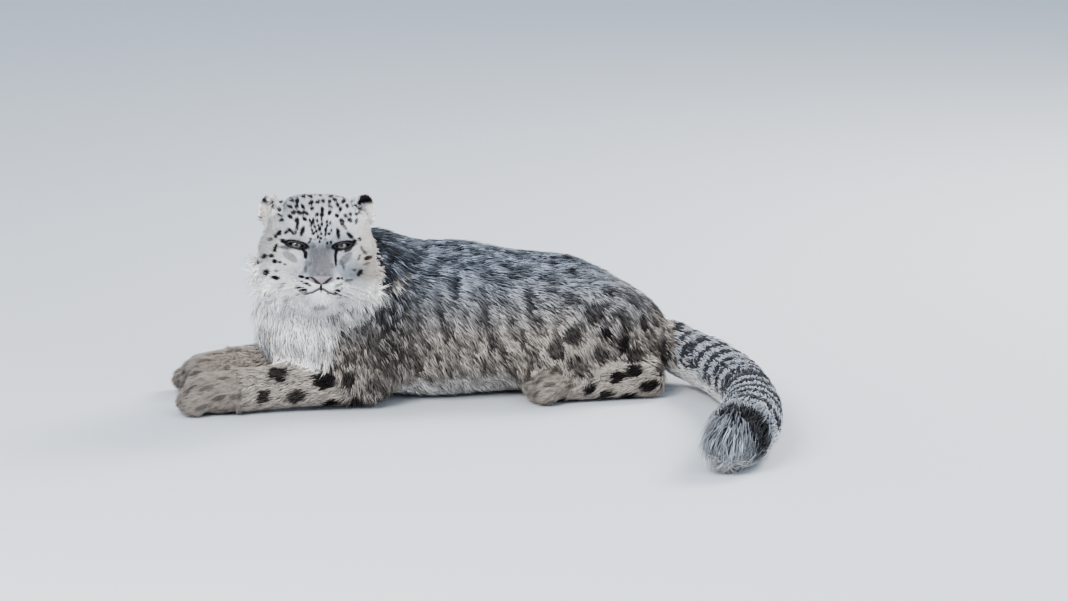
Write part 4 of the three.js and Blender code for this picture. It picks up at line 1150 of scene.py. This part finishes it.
shade = add(tree, "ShaderNodeMapRange", {"Value": rays.outputs[0], "From Min": 0.3, "From Max": 0.7,
                                         "To Min": 0.62, "To Max": 1.15})
colour = blend(tree, 1.0, bands.outputs[0], shade.outputs[0], "MULTIPLY")
tree.links.new(colour, surface.inputs["Base Color"])

for side, word in ((1, "left"), (-1, "right")):
    bpy.ops.object.select_all(action="DESELECT")
    bpy.ops.mesh.primitive_uv_sphere_add(segments=64, ring_count=48, radius=EYE_RADIUS)
    ball = bpy.context.object
    ball.name = f"eyeball_{word}"
    gaze = (camera.location - eyes[side]).normalized()
    turn = Vector((0, 0, 1)).rotation_difference(gaze)
    points = vertices_of(ball)
    away = np.degrees(np.arccos(np.clip(points[:, 2] / EYE_RADIUS, -1, 1)))
    around = np.arctan2(points[:, 1], points[:, 0])
    points *= (1 + EYE_BULGE * (1 - ramp(away, 12, 44)))[:, None]
    set_places(ball, points @ np.array(turn.to_matrix()).T + np.array(eyes[side]))
    ball.data.shade_smooth()
    store(ball, {"from_gaze": away / 90})
    layer = ball.data.attributes.new("round_gaze", "FLOAT_VECTOR", "POINT")
    round_gaze = np.stack([4 * np.cos(around), 4 * np.sin(around), away / 30], 1)
    layer.data.foreach_set("vector", round_gaze.astype(np.float32).ravel())
    ball.data.materials.append(eye_finish)
    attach(ball, "root")
    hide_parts(f"eye_{word}")

# Lid rims. The bare dark edge of the lids, a ring of damp skin round each eye. It is made as a tube along
# the cut of the opening, thicker above, and pressed a little into the hide.
RIM_POINTS = 40
RIM_SIDES = 10
RIM_SINK = 0.0008
rim_finish, tree, surface = new_finish("bare dark skin", {"Roughness": 0.38})
grain = add(tree, "ShaderNodeGroup", node_tree=skin_grain)
for socket, value in (("Scale", 900.0), ("Distance", 0.0003), ("Strength", 1.0)):
    grain.inputs[socket].default_value = value
colour = blend(tree, grain.outputs["Grain"], tint(18, 15, 15), tint(48, 38, 35))
tree.links.new(colour, surface.inputs["Base Color"])
tree.links.new(grain.outputs["Normal"], surface.inputs["Normal"])

ring = np.arange(RIM_POINTS)
ring = np.stack([ring, (ring + 1) % RIM_POINTS], 1)
for side, word in ((1, "left"), (-1, "right")):
    line = np.array([head_surface(a, b) for a, b in zip(*almond(side, RIM_POINTS))])
    line -= RIM_SINK * front_way
    line = blurred(line, ring, 2)
    line = np.vstack([line, line[:2]])
    tall = head_places(line)[:, 2] - eye_spot[side][2]
    thick = 0.0016 + 0.0009 * ramp(tall, -0.001, 0.004)
    rim = rod(f"lid_rim_{word}", line, thick, RIM_SIDES, upright=to_front)
    rim.data.materials.append(rim_finish)
    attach(rim, "root")

# Nose. The bare pebbled pad, broad above and drawn in to the parting of the lip. It is remade from its
# solid, sunk a little at its upper edge, and each nostril is a narrow dark mark along a curve: painted shade
# where the opening would be.
NOSE_GRAIN = 0.0009
NOSE_ROUNDS = 4
NOSTRIL = np.array([(0.072, 0.003, -0.066), (0.068, 0.011, -0.058), (0.060, 0.021, -0.050)])
nose = joined_copy(["nose"], "nose_pad")
apply(nose, "REMESH", mode="VOXEL", voxel_size=NOSE_GRAIN)
nose_top = ramp(head_places(vertices_of(nose))[:, 2], -0.055, -0.047)
settle(nose, np.full(len(nose_top), 0.5), NOSE_ROUNDS, 0.005 * nose_top - 0.0002)
nose_spot = head_places(vertices_of(nose))
# How much painted shade of the nostril openings lies at each point of the pad.
slit = np.zeros(len(nose_spot))
for side in (1, -1):
    path = smooth_line(NOSTRIL * (1, side, 1), 8)
    gap = np.sqrt(((nose_spot[:, None, 1:] - path[None, :, 1:]) ** 2).sum(2))
    gap = (gap - np.linspace(0.0030, 0.0012, len(path))[None]).min(1)
    slit = np.maximum(slit, 1 - ramp(gap, -0.0004, 0.0006))
store(nose, {"slit": slit})
nose.data.shade_smooth()
nose_finish, tree, surface = new_finish("nose pad", {"Roughness": 0.42})
place = add(tree, "ShaderNodeTexCoord").outputs["Object"]
pebbles = add(tree, "ShaderNodeTexVoronoi", {"Vector": place, "Scale": 620.0})
mottle = add(tree, "ShaderNodeTexNoise", {"Vector": place, "Scale": 140.0, "Detail": 3.0})
colour = blend(tree, mottle.outputs[0], tint(122, 112, 114), tint(148, 140, 144))
colour = blend(tree, read(tree, "slit"), colour, tint(18, 14, 14))
tree.links.new(colour, surface.inputs["Base Color"])
relief = add(tree, "ShaderNodeBump", {"Height": pebbles.outputs["Distance"], "Distance": 0.0004,
                                      "Strength": 0.7})
tree.links.new(relief.outputs[0], surface.inputs["Normal"])
nose.data.materials.clear()
nose.data.materials.append(nose_finish)
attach(nose, "root")
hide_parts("nose")

# Whiskers. Stiff white hairs in four rows on each side of the lip and a few over each eye. Each is a long
# thin cone that droops a little to its tip, set with its foot in the hide.
WHISKER_RADIUS = 0.00034
WHISKER_SIDES = 5
LIP_FEET = [(0.020 + 0.005 * i, -0.060 - 0.005 * row - 0.0015 * i) for row in range(4) for i in range(4)]
BROW_FEET = [(0.036, 0.020), (0.041, 0.022), (0.046, 0.021)]
hairs = []
for side in (1, -1):
    for k, (aside, above) in enumerate(LIP_FEET + BROW_FEET):
        foot = head_surface(side * (aside + rng.uniform(-0.001, 0.001)), above + rng.uniform(-0.001, 0.001))
        brow = above > 0
        reach = rng.uniform(0.035, 0.05) if brow else rng.uniform(0.05, 0.085)
        heading = front_way * (0.55 if brow else 0.42 - 0.08 * (k % 4))
        heading = heading + side * left_way * (0.5 if brow else 1.0)
        heading = units(heading + top_way * (0.9 if brow else rng.uniform(-0.35, 0.0)))
        t = np.linspace(0, 1, 9)[:, None]
        line = foot + reach * (t * heading - 0.16 * t ** 2 * np.array((0, 0, 1)) - 0.12 * t ** 2 * front_way)
        hairs.append(rod("whisker", line, WHISKER_RADIUS * (1 - 0.85 * t[:, 0]), WHISKER_SIDES))
whiskers = hairs[0]
select(hairs, whiskers)
bpy.ops.object.join()
whiskers.name = "whiskers"
whisker_finish, tree, surface = new_finish("whisker", {"Roughness": 0.35})
place = add(tree, "ShaderNodeTexCoord").outputs["Object"]
mottle = add(tree, "ShaderNodeTexNoise", {"Vector": place, "Scale": 60.0})
colour = blend(tree, mottle.outputs[0], tint(214, 208, 200), tint(250, 248, 244))
tree.links.new(colour, surface.inputs["Base Color"])
whiskers.data.materials.append(whisker_finish)
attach(whiskers, "root")
